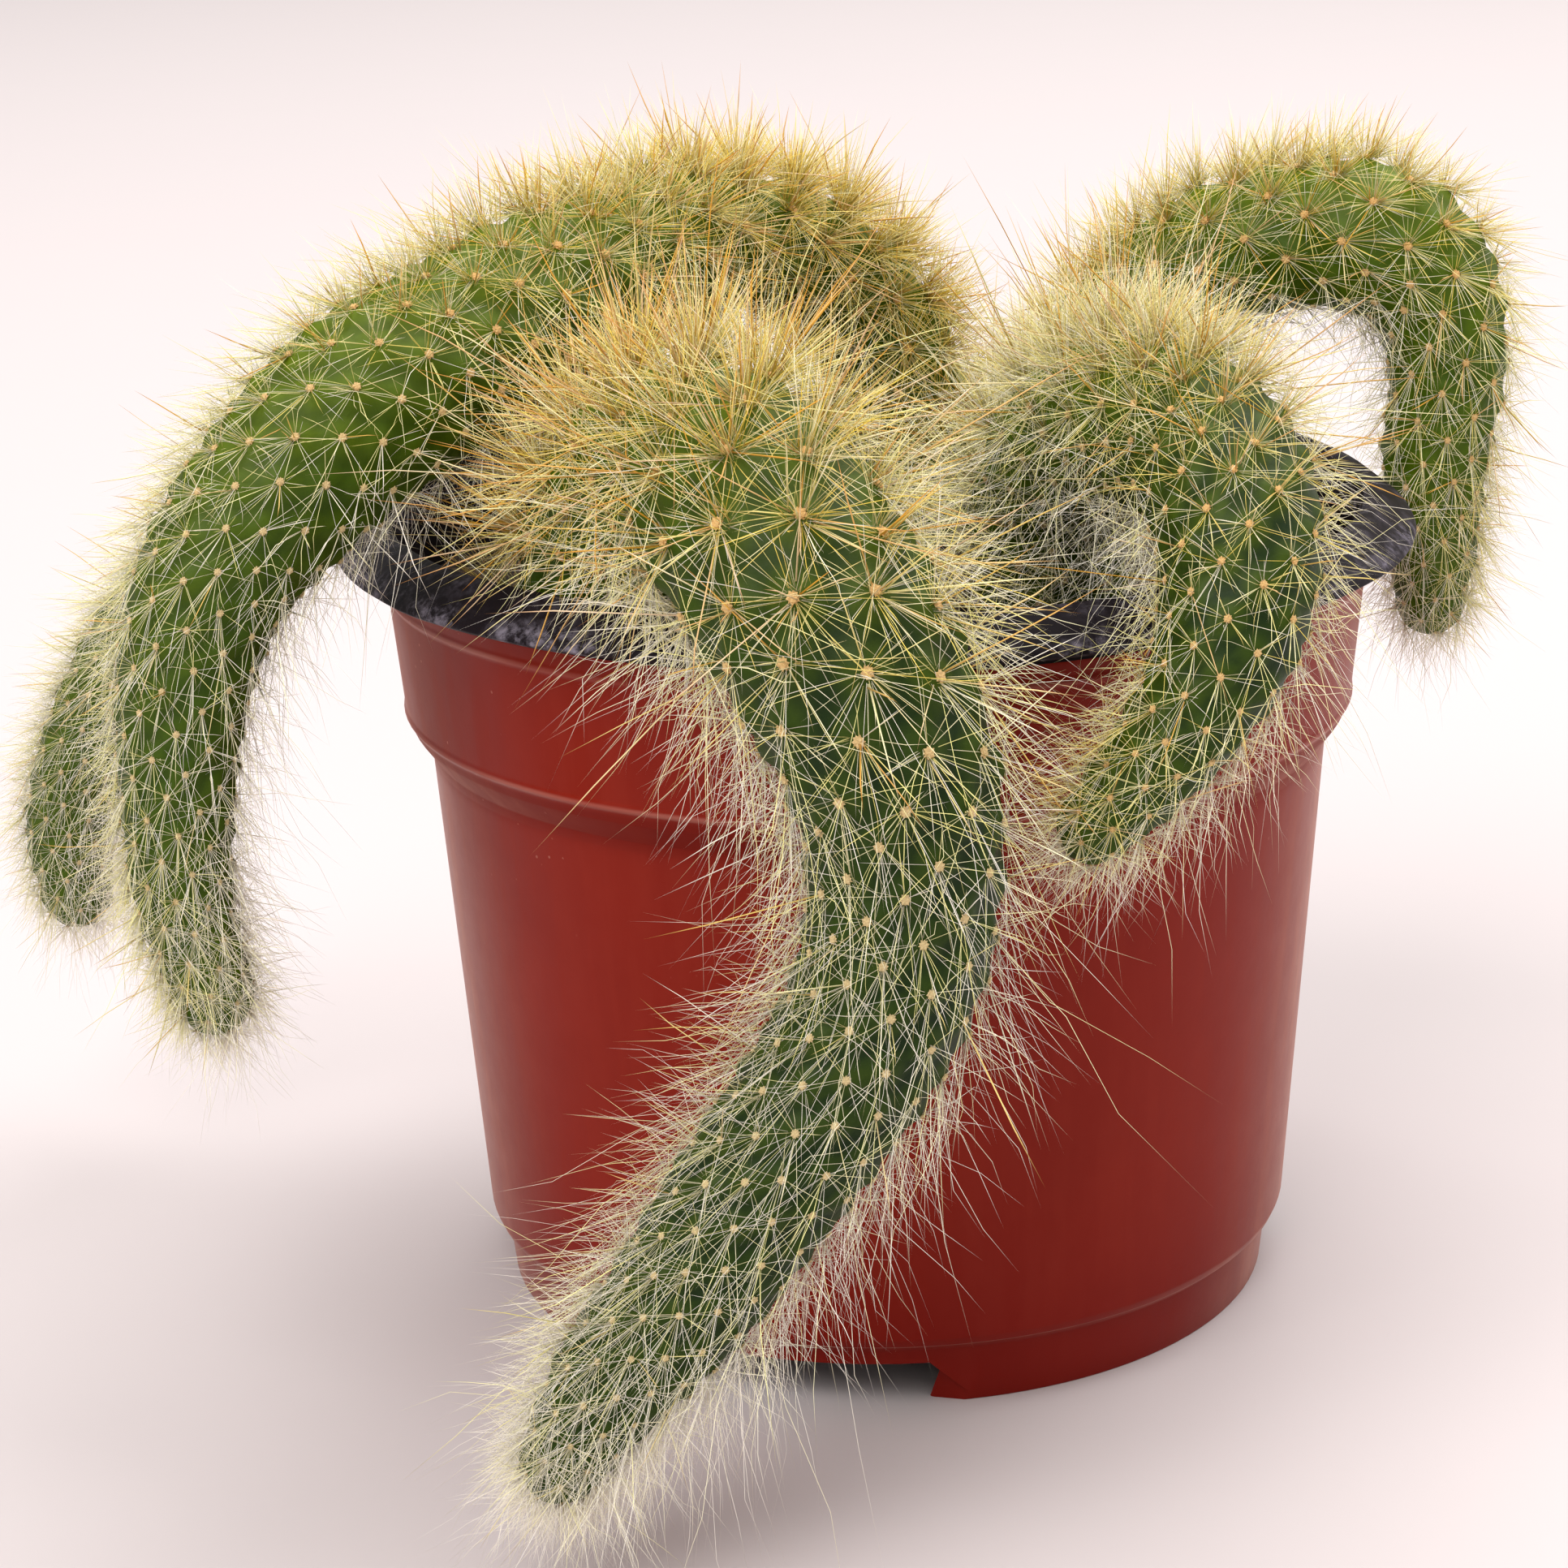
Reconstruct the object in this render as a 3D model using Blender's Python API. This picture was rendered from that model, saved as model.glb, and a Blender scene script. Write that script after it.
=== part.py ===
"""A potted monkey tail cactus: a thin plastic pot, its soil and five trailing spiny stems.

Lengths are in metres, +Z is up and the pot stands on z = 0. Everything is modelled around
the pot's own axis, and the finished pieces are then moved together, so that the middle of
the whole plant's box is over the origin.
"""
import math
import random

import bmesh
import bpy
import numpy as np
from mathutils import Matrix, Vector, noise

MM = 0.001

# The pot: a thin moulded cone with a wider band, a drooping lip and a foot ring.
POT_HEIGHT = 75.7 * MM
LIP_RADIUS = 50.0 * MM
LIP_DROP = 3.3 * MM
CREST_RADIUS = 45.8 * MM
WALL = 0.9 * MM
BAND_TOP_RADIUS = 45.9 * MM
BAND_TOP_Z = 73.0 * MM
BAND_LOW_RADIUS = 44.4 * MM
BAND_LOW_Z = 57.8 * MM
BODY_TOP_RADIUS = 42.1 * MM
BODY_TOP_Z = 53.4 * MM
BODY_LOW_RADIUS = 38.7 * MM
FOOT_TOP_RADIUS = 37.3 * MM
FOOT_RADIUS = 36.7 * MM
FOOT_TOP_Z = 6.2 * MM
FLOOR_TOP_Z = 5.6 * MM
FLOOR_THICKNESS = 1.0 * MM
POT_SEGMENTS = 40

# Notches in the foot ring that let water run out, and the drain holes in the floor.
NOTCHES = 3
NOTCH_FIRST_ANGLE = math.radians(-104)
NOTCH_TOP_WIDTH = 23.0 * MM
NOTCH_LOW_WIDTH = 31.0 * MM
NOTCH_HEIGHT = 4.2 * MM
CENTRE_HOLE_RADIUS = 5.0 * MM
DRAIN_HOLES = 5
DRAIN_HOLE_RADIUS = 3.5 * MM
DRAIN_CIRCLE_RADIUS = 23.0 * MM

# The soil fills the pot to a little below the rim.
SOIL_LEVEL = 66.0 * MM
SOIL_UNEVENNESS = 0.9 * MM
SOIL_GAP = 0.3 * MM
SOIL_RINGS = 4
SOIL_SEGMENTS = 24
HOLE_BOTTOM = 51.0 * MM
HOLE_GAP = 0.6 * MM
ROOT_LIFT = 0.3 * MM

# Stem surface: staggered rows of tubercles, one row every few tenths of the stem's radius.
SIDES = 12
ROW_PITCH = 0.50
TUBERCLE_HEIGHT = 0.08
TIP_LENGTH = 1.15
TIP_ANGLES = (28, 52, 72, 90)

# Spines: three-sided needles on two tubercles out of three, rooted beside the peak.
SPINE_RADIUS = 0.34 * MM
SPINE_ROOT_DEPTH = 1.6 * MM
SPINE_OFFSET = 0.75 * MM
SPINE_LENGTH = 7.0 * MM
SPINE_EXTRA_ON_TOP = 4.0 * MM
SPINE_LENGTH_SPREAD = 0.2
SPINE_TILT = 0.55
SPINE_TRIES = 6
SPINE_CLEARANCE = 0.9 * MM
SPINE_SEED = 7

# Each stem's centre line above the soil, from root to tip: x, y, z and radius, all in mm.
STEMS = {
    "stem_front": [
        (-23, -22, 68, 8.8), (-22, -27, 77, 9.3), (-18, -36, 85, 9.3), (-13, -46, 87, 9.3),
        (-9, -56, 84, 9.3), (-5, -61, 78, 9.2), (-2, -63, 72, 8.6), (0, -63, 65, 8.0),
        (0, -63, 57, 7.6), (-2, -64, 49, 7.2), (-7, -65, 41, 6.8), (-13, -66, 33, 6.5),
        (-18, -67, 26, 6.0), (-24, -68, 19, 5.0), (-28, -69, 13, 3.6)],
    "stem_left": [
        (5, 20, 68, 6.4), (4, 22, 77, 6.5), (2, 22, 85, 6.4), (-4, 19, 93, 6.4),
        (-11, 12, 97, 6.4), (-18, 4, 98, 6.8), (-24, -5, 97, 7.2), (-30, -13, 96, 7.8),
        (-37, -21, 93, 8.2), (-44, -28, 90, 8.2), (-50, -33, 85, 7.6), (-56, -36, 78, 6.6),
        (-59, -38, 69, 5.6), (-60, -39, 60, 4.8), (-60, -40, 51, 4.2), (-58, -41, 43, 3.4)],
    "stem_far_left": [
        (-21, 14, 68, 5.6), (-22, 15, 75, 5.8), (-27, 18, 81, 5.8), (-35, 21, 84, 5.7),
        (-44, 24, 83, 5.6), (-53, 26, 78, 5.5), (-61, 28, 71, 5.4), (-68, 28, 63, 5.3),
        (-75, 28, 54, 5.2), (-80, 28, 45, 5.0), (-83, 28, 36, 4.6), (-83, 28, 29, 3.8)],
    "stem_right_back": [
        (20, 28, 68, 6.4), (21, 28, 75, 6.7), (24, 27, 82, 6.8), (29, 25, 88, 6.8),
        (35, 22, 93, 6.8), (42, 19, 95, 6.8), (49, 17, 95, 7.1), (54, 16, 91, 6.6),
        (56, 15, 83, 5.6), (55, 15, 74, 5.1), (55, 15, 65, 4.4), (55, 15, 60, 3.5)],
    "stem_right_front": [
        (16, -5, 68, 7.0), (16, -8, 76, 7.2), (18, -15, 83, 7.4), (23, -27, 87, 7.5),
        (27, -39, 86, 7.1), (28, -47, 82, 6.7), (27, -52, 76, 5.9), (24, -54, 70, 4.9),
        (20, -55, 65, 4.1), (16, -56, 61, 3.2)],
}
STEM_COLOURS = {
    "stem_front": (0.09, 0.20, 0.045), "stem_left": (0.10, 0.23, 0.04),
    "stem_far_left": (0.12, 0.22, 0.06), "stem_right_back": (0.13, 0.25, 0.045),
    "stem_right_front": (0.09, 0.21, 0.045)}


def clear_scene():
    """Remove whatever the opened file holds, so the script can be run again."""
    for old in list(bpy.data.objects):
        bpy.data.objects.remove(old, do_unlink=True)


def make_material(name, colour, roughness, metallic=0.0):
    """A plain Principled material with one colour."""
    material = bpy.data.materials.new(name)
    material.use_nodes = True
    shader = material.node_tree.nodes["Principled BSDF"]
    shader.inputs["Base Color"].default_value = (*colour, 1.0)
    shader.inputs["Roughness"].default_value = roughness
    shader.inputs["Metallic"].default_value = metallic
    return material


def add_object(name, bm, material=None, smooth_below=None):
    """Turn a bmesh into a named object, with smooth shading below an edge angle."""
    bmesh.ops.recalc_face_normals(bm, faces=bm.faces)
    mesh = bpy.data.meshes.new(name)
    bm.to_mesh(mesh)
    bm.free()
    if smooth_below is not None:
        mesh.shade_smooth()
        mesh.set_sharp_from_angle(angle=math.radians(smooth_below))
    piece = bpy.data.objects.new(name, mesh)
    bpy.context.scene.collection.objects.link(piece)
    if material is not None:
        mesh.materials.append(material)
    return piece


def apply_boolean(piece, operation, cutter=None, collection=None, solver="EXACT"):
    """Apply one Boolean on the piece, then remove the objects that it used."""
    modifier = piece.modifiers.new(operation.lower(), "BOOLEAN")
    modifier.operation = operation
    modifier.solver = solver
    if collection is None:
        modifier.object = cutter
        used = [cutter]
    else:
        modifier.operand_type = "COLLECTION"
        modifier.collection = collection
        used = list(collection.objects)
    bpy.context.view_layer.objects.active = piece
    bpy.ops.object.modifier_apply(modifier=modifier.name)
    for item in used:
        bpy.data.objects.remove(item, do_unlink=True)
    if collection is not None:
        bpy.data.collections.remove(collection)


def keep_main_body(piece):
    """Drop loose scraps and fill sealed hollows: keep the part's largest connected surface."""
    bm = bmesh.new()
    bm.from_mesh(piece.data)
    waiting = set(bm.verts)
    islands = []
    while waiting:
        front = [waiting.pop()]
        island = set(front)
        while front:
            for edge in front.pop().link_edges:
                for vert in edge.verts:
                    if vert in waiting:
                        waiting.remove(vert)
                        island.add(vert)
                        front.append(vert)
        islands.append(island)
    islands.sort(key=len)
    for island in islands[:-1]:
        bmesh.ops.delete(bm, geom=list(island), context="VERTS")
    bm.to_mesh(piece.data)
    bm.free()


def spin_profile(profile, segments):
    """Turn an outline of (radius, height) points into a solid of revolution.

    The outline is closed unless it starts and ends on the axis.
    """
    bm = bmesh.new()
    corners = [bm.verts.new((radius, 0.0, height)) for radius, height in profile]
    edges = [bm.edges.new(pair) for pair in zip(corners, corners[1:])]
    if profile[0][0] > 0.0:
        edges.append(bm.edges.new((corners[-1], corners[0])))
    bmesh.ops.spin(bm, geom=corners + edges, cent=(0, 0, 0), axis=(0, 0, 1),
                   angle=math.tau, steps=segments, use_merge=True)
    return bm


def outer_wall():
    """The pot's outer outline from its foot to the lip's lower edge."""
    return [
        (FOOT_RADIUS, 0.0),
        (FOOT_TOP_RADIUS, FOOT_TOP_Z - 0.5 * MM),
        (BODY_LOW_RADIUS, FOOT_TOP_Z + 0.4 * MM),
        (BODY_TOP_RADIUS, BODY_TOP_Z),
        (BODY_TOP_RADIUS + 0.9 * MM, BODY_TOP_Z + 1.1 * MM),
        (BAND_LOW_RADIUS - 0.5 * MM, BAND_LOW_Z - 1.8 * MM),
        (BAND_LOW_RADIUS, BAND_LOW_Z),
        (BAND_TOP_RADIUS - 0.4 * MM, BAND_TOP_Z - 3.6 * MM),
        (BAND_TOP_RADIUS, BAND_TOP_Z - 2.6 * MM),
        (BAND_TOP_RADIUS, BAND_TOP_Z)]


def lip():
    """The lip's outline: out along its underside, round its edge and up to the crest."""
    edge_z = POT_HEIGHT - LIP_DROP
    return [
        (LIP_RADIUS - 0.6 * MM, edge_z - 0.4 * MM),
        (LIP_RADIUS, edge_z),
        (LIP_RADIUS - 0.3 * MM, edge_z + 0.6 * MM),
        (CREST_RADIUS + 1.0 * MM, POT_HEIGHT - 0.3 * MM),
        (CREST_RADIUS, POT_HEIGHT),
        (CREST_RADIUS - 0.7 * MM, POT_HEIGHT - 0.4 * MM)]


def inner_wall(inset):
    """The pot's inner outline from its mouth down to the floor, moved inwards by inset."""
    return [
        (BAND_TOP_RADIUS - WALL - inset, BAND_TOP_Z),
        (BAND_LOW_RADIUS - WALL - inset, BAND_LOW_Z + 0.6 * MM),
        (BODY_TOP_RADIUS - WALL - inset, BODY_TOP_Z + 0.3 * MM),
        (BODY_LOW_RADIUS - WALL - inset, FLOOR_TOP_Z + 1.6 * MM),
        (BODY_LOW_RADIUS - WALL - 1.6 * MM - inset, FLOOR_TOP_Z + inset)]


def make_pot():
    """The moulded pot, with its drain holes and the notches in its foot."""
    floor_low = FLOOR_TOP_Z - FLOOR_THICKNESS
    floor = [
        (CENTRE_HOLE_RADIUS, FLOOR_TOP_Z),
        (CENTRE_HOLE_RADIUS, floor_low),
        (FOOT_TOP_RADIUS - 1.3 * MM, floor_low),
        (FOOT_RADIUS - 1.2 * MM, 0.0)]
    profile = outer_wall() + lip() + inner_wall(0.0) + floor
    pot = add_object("pot", spin_profile(profile, POT_SEGMENTS),
                     make_material("pot_plastic", (0.26, 0.025, 0.018), 0.38), 30)
    for number in range(DRAIN_HOLES):
        angle = math.tau * number / DRAIN_HOLES
        centre = Vector((math.cos(angle), math.sin(angle), 0.0)) * DRAIN_CIRCLE_RADIUS
        centre.z = floor_low
        apply_boolean(pot, "DIFFERENCE", cylinder_cutter(centre, DRAIN_HOLE_RADIUS, 4 * MM, 8))
    for number in range(NOTCHES):
        apply_boolean(pot, "DIFFERENCE", notch_cutter(NOTCH_FIRST_ANGLE + math.tau * number / NOTCHES))
    return pot


def cylinder_cutter(centre, radius, height, segments):
    """A cutting cylinder whose middle is at centre."""
    bm = bmesh.new()
    bmesh.ops.create_cone(bm, cap_ends=True, segments=segments, radius1=radius, radius2=radius,
                          depth=height, matrix=Matrix.Translation(centre))
    cutter = add_object("cutter", bm)
    cutter.hide_render = True
    cutter.display_type = "WIRE"
    return cutter


def notch_cutter(angle):
    """A flat block with sloping ends that cuts one notch in the foot ring."""
    bm = bmesh.new()
    reach = 6.0 * MM
    made = bmesh.ops.create_cube(bm, size=1.0)
    for vert in made["verts"]:
        top = vert.co.z > 0
        width = NOTCH_TOP_WIDTH if top else NOTCH_LOW_WIDTH + 2 * MM
        height = NOTCH_HEIGHT if top else -1.0 * MM
        vert.co = Vector((FOOT_RADIUS + vert.co.x * reach, vert.co.y * width, height))
    bmesh.ops.rotate(bm, verts=made["verts"], cent=(0, 0, 0), matrix=Matrix.Rotation(angle, 3, "Z"))
    cutter = add_object("cutter", bm)
    cutter.hide_render = True
    cutter.display_type = "WIRE"
    return cutter


def soil_top(x, y):
    """The soil surface's height at a point: gentle, fixed bumps."""
    return SOIL_LEVEL + SOIL_UNEVENNESS * noise.noise(Vector((x, y, 0.0)) / (14 * MM))


def make_soil():
    """The soil: a plug with an uneven top, and a plain hole for each stem."""
    side = [point for point in inner_wall(SOIL_GAP) if point[1] < SOIL_LEVEL]
    slope = (BAND_TOP_RADIUS - BAND_LOW_RADIUS) / (BAND_TOP_Z - BAND_LOW_Z)
    edge_radius = BAND_LOW_RADIUS - WALL - SOIL_GAP + slope * (SOIL_LEVEL - BAND_LOW_Z)
    top = [(edge_radius * ring / SOIL_RINGS, SOIL_LEVEL) for ring in range(SOIL_RINGS + 1)]
    bm = spin_profile(top + side + [(0.0, side[-1][1])], SOIL_SEGMENTS)
    bmesh.ops.remove_doubles(bm, verts=bm.verts, dist=0.01 * MM)
    for vert in bm.verts:
        if vert.co.z > SOIL_LEVEL - 0.1 * MM:
            vert.co.z = soil_top(vert.co.x, vert.co.y)
    soil = add_object("soil", bm, make_material("soil", (0.035, 0.024, 0.016), 0.95), 40)
    for points in STEMS.values():
        x, y, _, radius = (value * MM for value in points[0])
        height = SOIL_LEVEL + 6 * MM - HOLE_BOTTOM
        centre = Vector((x, y, HOLE_BOTTOM + height / 2))
        apply_boolean(soil, "DIFFERENCE", cylinder_cutter(centre, radius + HOLE_GAP, height, 14))
    return soil


def centre_line(points, per_span=16):
    """A smooth curve of (x, y, z, radius) rows in metres through the stem's points.

    It starts at the bottom of the stem's hole and goes straight up to the first point.
    """
    x, y, _, radius = points[0]
    foot = (HOLE_BOTTOM + ROOT_LIFT) / MM
    rows = [(x, y, foot, radius * 0.86), (x, y, (foot + 64) / 2, radius * 0.95)] + list(points)
    rows = np.array(rows, dtype=float) * MM
    rows = np.vstack([2 * rows[0] - rows[1], rows, 2 * rows[-1] - rows[-2]])
    curve = []
    for before, start, end, after in zip(rows, rows[1:], rows[2:], rows[3:]):
        for t in np.arange(per_span) / per_span:
            curve.append(0.5 * (2 * start + (end - before) * t
                                + (2 * before - 5 * start + 4 * end - after) * t ** 2
                                + (3 * start - before - 3 * end + after) * t ** 3))
    curve.append(rows[-2])
    return np.array(curve)


def stem_rows(curve):
    """Walk the centre line and give each row's centre, radius and direction."""
    steps = np.linalg.norm(np.diff(curve[:, :3], axis=0), axis=1)
    along = np.concatenate([[0.0], np.cumsum(steps)])
    rows = []
    place = 0.0
    while place < along[-1]:
        rows.append([np.interp(place, along, curve[:, axis]) for axis in range(4)])
        place += ROW_PITCH * rows[-1][3]
    heading = curve[-1, :3] - curve[-3, :3]
    heading /= np.linalg.norm(heading)
    for angle in TIP_ANGLES:
        lift = TIP_LENGTH * curve[-1, 3] * math.sin(math.radians(angle))
        radius = curve[-1, 3] * math.cos(math.radians(angle))
        rows.append([*(curve[-1, :3] + heading * lift), max(radius, 0.0)])
    rows = np.array(rows)
    directions = np.gradient(rows[:, :3], axis=0)
    directions /= np.linalg.norm(directions, axis=1)[:, None]
    return rows, directions


def stem_frames(directions):
    """A side direction for each row that turns with the stem but doesn't twist round it."""
    side = np.array([1.0, 0.0, 0.0])
    sides = []
    for direction in directions:
        side = side - direction * side.dot(direction)
        side /= np.linalg.norm(side)
        sides.append(side.copy())
    return np.array(sides)


def relief(column, row, height):
    """A tubercle's share of the radius: up on every other corner, down between them."""
    if height < SOIL_LEVEL + 2 * MM and row < 8:
        return 0.0
    return TUBERCLE_HEIGHT if (column + row) % 2 == 0 else -TUBERCLE_HEIGHT


def surface_point(rows, frames, column, row):
    """The corner of the stem's surface at a column and a row."""
    directions, sides = frames
    angle = math.tau * column / SIDES
    other = np.cross(directions[row], sides[row])
    outward = math.cos(angle) * sides[row] + math.sin(angle) * other
    radius = rows[row, 3] * (1 + relief(column, row, rows[row, 2]))
    return rows[row, :3] + outward * radius, outward


def make_stem_body(name, rows, frames):
    """The stem's body: a grid rolled into a tube whose staggered corners are tubercles."""
    count = len(rows)
    bm = bmesh.new()
    bmesh.ops.create_grid(bm, x_segments=SIDES, y_segments=count - 1, size=0.5)
    raised = {}
    for vert in bm.verts:
        column = round((vert.co.x + 0.5) * SIDES) % SIDES
        row = round((vert.co.y + 0.5) * (count - 1))
        raised[vert] = (column + row) % 2 == 0
        vert.co = Vector(surface_point(rows, frames, column, row)[0])
    for face in list(bm.faces):
        low = [vert for vert in face.verts if not raised[vert]]
        bmesh.utils.face_split(face, low[0], low[1])
    bmesh.ops.remove_doubles(bm, verts=bm.verts, dist=0.001 * MM)
    bmesh.ops.holes_fill(bm, edges=[edge for edge in bm.edges if edge.is_boundary], sides=0)
    return add_object(name, bm, make_material(name, STEM_COLOURS[name], 0.55))


def pot_outline_samples():
    """Points along the pot's whole outline, close together, for the clearance test."""
    corners = np.array(outer_wall() + lip() + inner_wall(0.0))
    parts = [start + (end - start) * np.arange(0, 1, 0.04)[:, None]
             for start, end in zip(corners, corners[1:])]
    return np.vstack(parts)


def is_clear(path, name, curves, outline, others):
    """True if a needle's points stay clear of the other pieces and their needles."""
    if path[:, 2].min() < SPINE_CLEARANCE:
        return False
    flat = np.hypot(path[:, 0], path[:, 1])
    inside = flat < BAND_TOP_RADIUS
    if np.any(path[inside, 2] < SOIL_LEVEL + 2 * MM) and flat[inside].size:
        return False
    to_pot = np.hypot(flat[:, None] - outline[:, 0], path[:, 2][:, None] - outline[:, 1])
    if to_pot.min() < SPINE_CLEARANCE:
        return False
    for other, curve in curves.items():
        tested = path[len(path) // 2:] if other == name else path
        gap = np.linalg.norm(tested[:, None] - curve[:, :3], axis=2) - curve[:, 3] * (1 + TUBERCLE_HEIGHT)
        if gap.min() < SPINE_CLEARANCE:
            return False
    if len(others):
        return np.linalg.norm(path[:, None] - others, axis=2).min() > 1.4 * SPINE_CLEARANCE
    return True


def needle(root, direction, length):
    """One three-sided needle that starts below the stem's surface."""
    bm = bmesh.new()
    turn = Vector(direction).to_track_quat("Z", "Y").to_matrix().to_4x4()
    middle = Matrix.Translation(Vector((0, 0, (length - SPINE_ROOT_DEPTH) / 2)))
    bmesh.ops.create_cone(bm, cap_ends=True, segments=3, radius1=SPINE_RADIUS, radius2=0.0,
                          depth=length + SPINE_ROOT_DEPTH,
                          matrix=Matrix.Translation(Vector(root)) @ turn @ middle)
    bmesh.ops.remove_doubles(bm, verts=bm.verts, dist=0.001 * MM)
    return add_object("needle", bm)


def needle_plan(name, rows, frames, curves, outline, others, draw):
    """Choose every needle of a stem: its root, direction and length."""
    directions = frames[0]
    plan = []
    for row in range(2, len(rows) - 1):
        for column in range(SIDES):
            if relief(column, row, rows[row, 2]) <= 0 or (column // 2 + row) % 3 == 2:
                continue
            peak, outward = surface_point(rows, frames, column, row)
            around = np.cross(directions[row], outward)
            sway = draw.choice((-1, 1))
            offset = min(SPINE_OFFSET, 0.2 * rows[row, 3])
            root = peak + (directions[row] * 0.7 + around * 0.7 * sway) * offset - outward * 0.1 * MM
            for _ in range(SPINE_TRIES):
                tilt = directions[row] * draw.uniform(-0.3, 1.0) + around * draw.uniform(-1, 1)
                aim = outward + tilt * SPINE_TILT
                aim /= np.linalg.norm(aim)
                thick = 0.55 + 0.45 * min(1.0, rows[row, 3] / (8 * MM))
                length = (SPINE_LENGTH + SPINE_EXTRA_ON_TOP * max(0.0, aim[2])) * thick
                length *= 1 + SPINE_LENGTH_SPREAD * draw.uniform(-1, 1)
                path = root + aim * np.linspace(1.0 * MM, length, 12)[:, None]
                if is_clear(path, name, curves, outline, others):
                    plan.append((root, aim, length, path))
                    break
    return plan


def make_stems():
    """All stems, each with its needles fused to its body."""
    draw = random.Random(SPINE_SEED)
    curves = {name: centre_line(points) for name, points in STEMS.items()}
    outline = pot_outline_samples()
    others = np.empty((0, 3))
    stems = []
    for name, curve in curves.items():
        rows, directions = stem_rows(curve)
        frames = (directions, stem_frames(directions))
        body = make_stem_body(name, rows, frames)
        plan = needle_plan(name, rows, frames, curves, outline, others, draw)
        holder = bpy.data.collections.new("needles")
        bpy.context.scene.collection.children.link(holder)
        for root, aim, length, path in plan:
            spike = needle(root, aim, length)
            bpy.context.scene.collection.objects.unlink(spike)
            holder.objects.link(spike)
        others = np.vstack([others] + [path for _, _, _, path in plan])
        apply_boolean(body, "UNION", collection=holder, solver="MANIFOLD")
        keep_main_body(body)
        stems.append(body)
    return stems


def centre_over_origin(pieces):
    """Move all pieces together, so that the middle of their box is over the origin."""
    corners = np.array([vert.co for piece in pieces for vert in piece.data.vertices])
    middle = (corners.min(axis=0) + corners.max(axis=0)) / 2
    for piece in pieces:
        piece.location = (-middle[0], -middle[1], 0.0)


def main():
    """Build the whole part."""
    clear_scene()
    pieces = [make_pot(), make_soil()] + make_stems()
    centre_over_origin(pieces)


main()
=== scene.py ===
"""The looks of a potted monkey tail cactus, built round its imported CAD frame.

Every piece is in metres, with +Z up, where the CAD has it. The pot, the soil and the five
stems are made again with finer detail, and the stems get felt pads, spines and fine hairs.
"""

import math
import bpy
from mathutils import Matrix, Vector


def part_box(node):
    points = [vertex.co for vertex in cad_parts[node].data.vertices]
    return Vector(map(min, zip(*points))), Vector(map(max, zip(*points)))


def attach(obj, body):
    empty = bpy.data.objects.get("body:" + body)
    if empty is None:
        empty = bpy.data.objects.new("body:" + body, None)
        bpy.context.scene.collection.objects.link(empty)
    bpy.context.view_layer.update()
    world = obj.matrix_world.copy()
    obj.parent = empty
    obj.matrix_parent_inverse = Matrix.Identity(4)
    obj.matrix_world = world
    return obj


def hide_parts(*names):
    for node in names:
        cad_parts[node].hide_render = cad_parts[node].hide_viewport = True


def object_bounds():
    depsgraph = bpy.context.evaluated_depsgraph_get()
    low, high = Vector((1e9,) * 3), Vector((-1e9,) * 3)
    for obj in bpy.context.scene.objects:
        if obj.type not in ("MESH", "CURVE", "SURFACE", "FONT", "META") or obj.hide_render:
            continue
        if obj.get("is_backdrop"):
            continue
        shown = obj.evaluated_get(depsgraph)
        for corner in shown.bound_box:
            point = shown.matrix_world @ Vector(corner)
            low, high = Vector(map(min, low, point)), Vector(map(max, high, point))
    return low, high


bl_info = {
    "name": "Potted Monkey Tail Cactus",
    "version": (1, 0, 0),
    "blender": (4, 5, 0),
    "location": "View3D > Sidebar > Cactus",
    "description": "Builds a potted monkey tail cactus with its spines, hairs and a plain studio",
    "category": "Add Mesh",
}

from collections import namedtuple

import bmesh
import bpy
import numpy as np
from bpy.props import FloatProperty, FloatVectorProperty, IntProperty, PointerProperty
from mathutils import Matrix, Vector, kdtree, noise

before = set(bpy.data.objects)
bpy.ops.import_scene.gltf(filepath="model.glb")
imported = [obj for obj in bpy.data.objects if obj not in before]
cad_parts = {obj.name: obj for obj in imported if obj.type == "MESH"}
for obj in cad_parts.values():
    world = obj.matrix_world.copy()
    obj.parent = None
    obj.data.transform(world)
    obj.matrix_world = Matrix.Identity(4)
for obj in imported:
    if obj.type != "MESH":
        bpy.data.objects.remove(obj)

MM = 0.001
GOLDEN_ANGLE = math.radians(137.508)
CAD_BOX = [Vector(corner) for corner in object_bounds()]
POT_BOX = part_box("pot")
POT_AXIS = Vector(((POT_BOX[0].x + POT_BOX[1].x) / 2, (POT_BOX[0].y + POT_BOX[1].y) / 2, 0.0))

# The pot's outline in mm: its outside, its lip, its inside and its floor, as (radius, height).
POT_OUTSIDE = (
    (36.7, 0.0), (37.3, 5.5), (37.7, 6.1), (38.4, 6.4), (38.75, 7.2), (42.05, 52.6), (42.3, 53.6),
    (43.0, 54.6), (43.8, 55.7), (44.25, 56.7), (44.55, 57.1), (44.4, 57.7), (45.4, 68.3),
    (45.7, 68.8), (45.6, 69.4), (45.9, 70.6), (45.9, 73.0))
# The heights of the two creases, where pale lines of painted highlight go.
CREASE_HEIGHTS = (57.1 * MM, 68.8 * MM)
POT_LIP = ((49.4, 72.0), (50.0, 72.4), (49.7, 73.0), (46.8, 75.4), (45.8, 75.7), (45.1, 75.3))
POT_INSIDE = ((45.0, 73.0), (43.5, 58.4), (41.2, 53.7), (37.8, 7.2), (36.2, 5.6))
POT_FLOOR = ((5.0, 5.6), (5.0, 4.6), (36.0, 4.6), (35.5, 0.0))
POT_ROUNDING = 0.14 * MM
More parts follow.
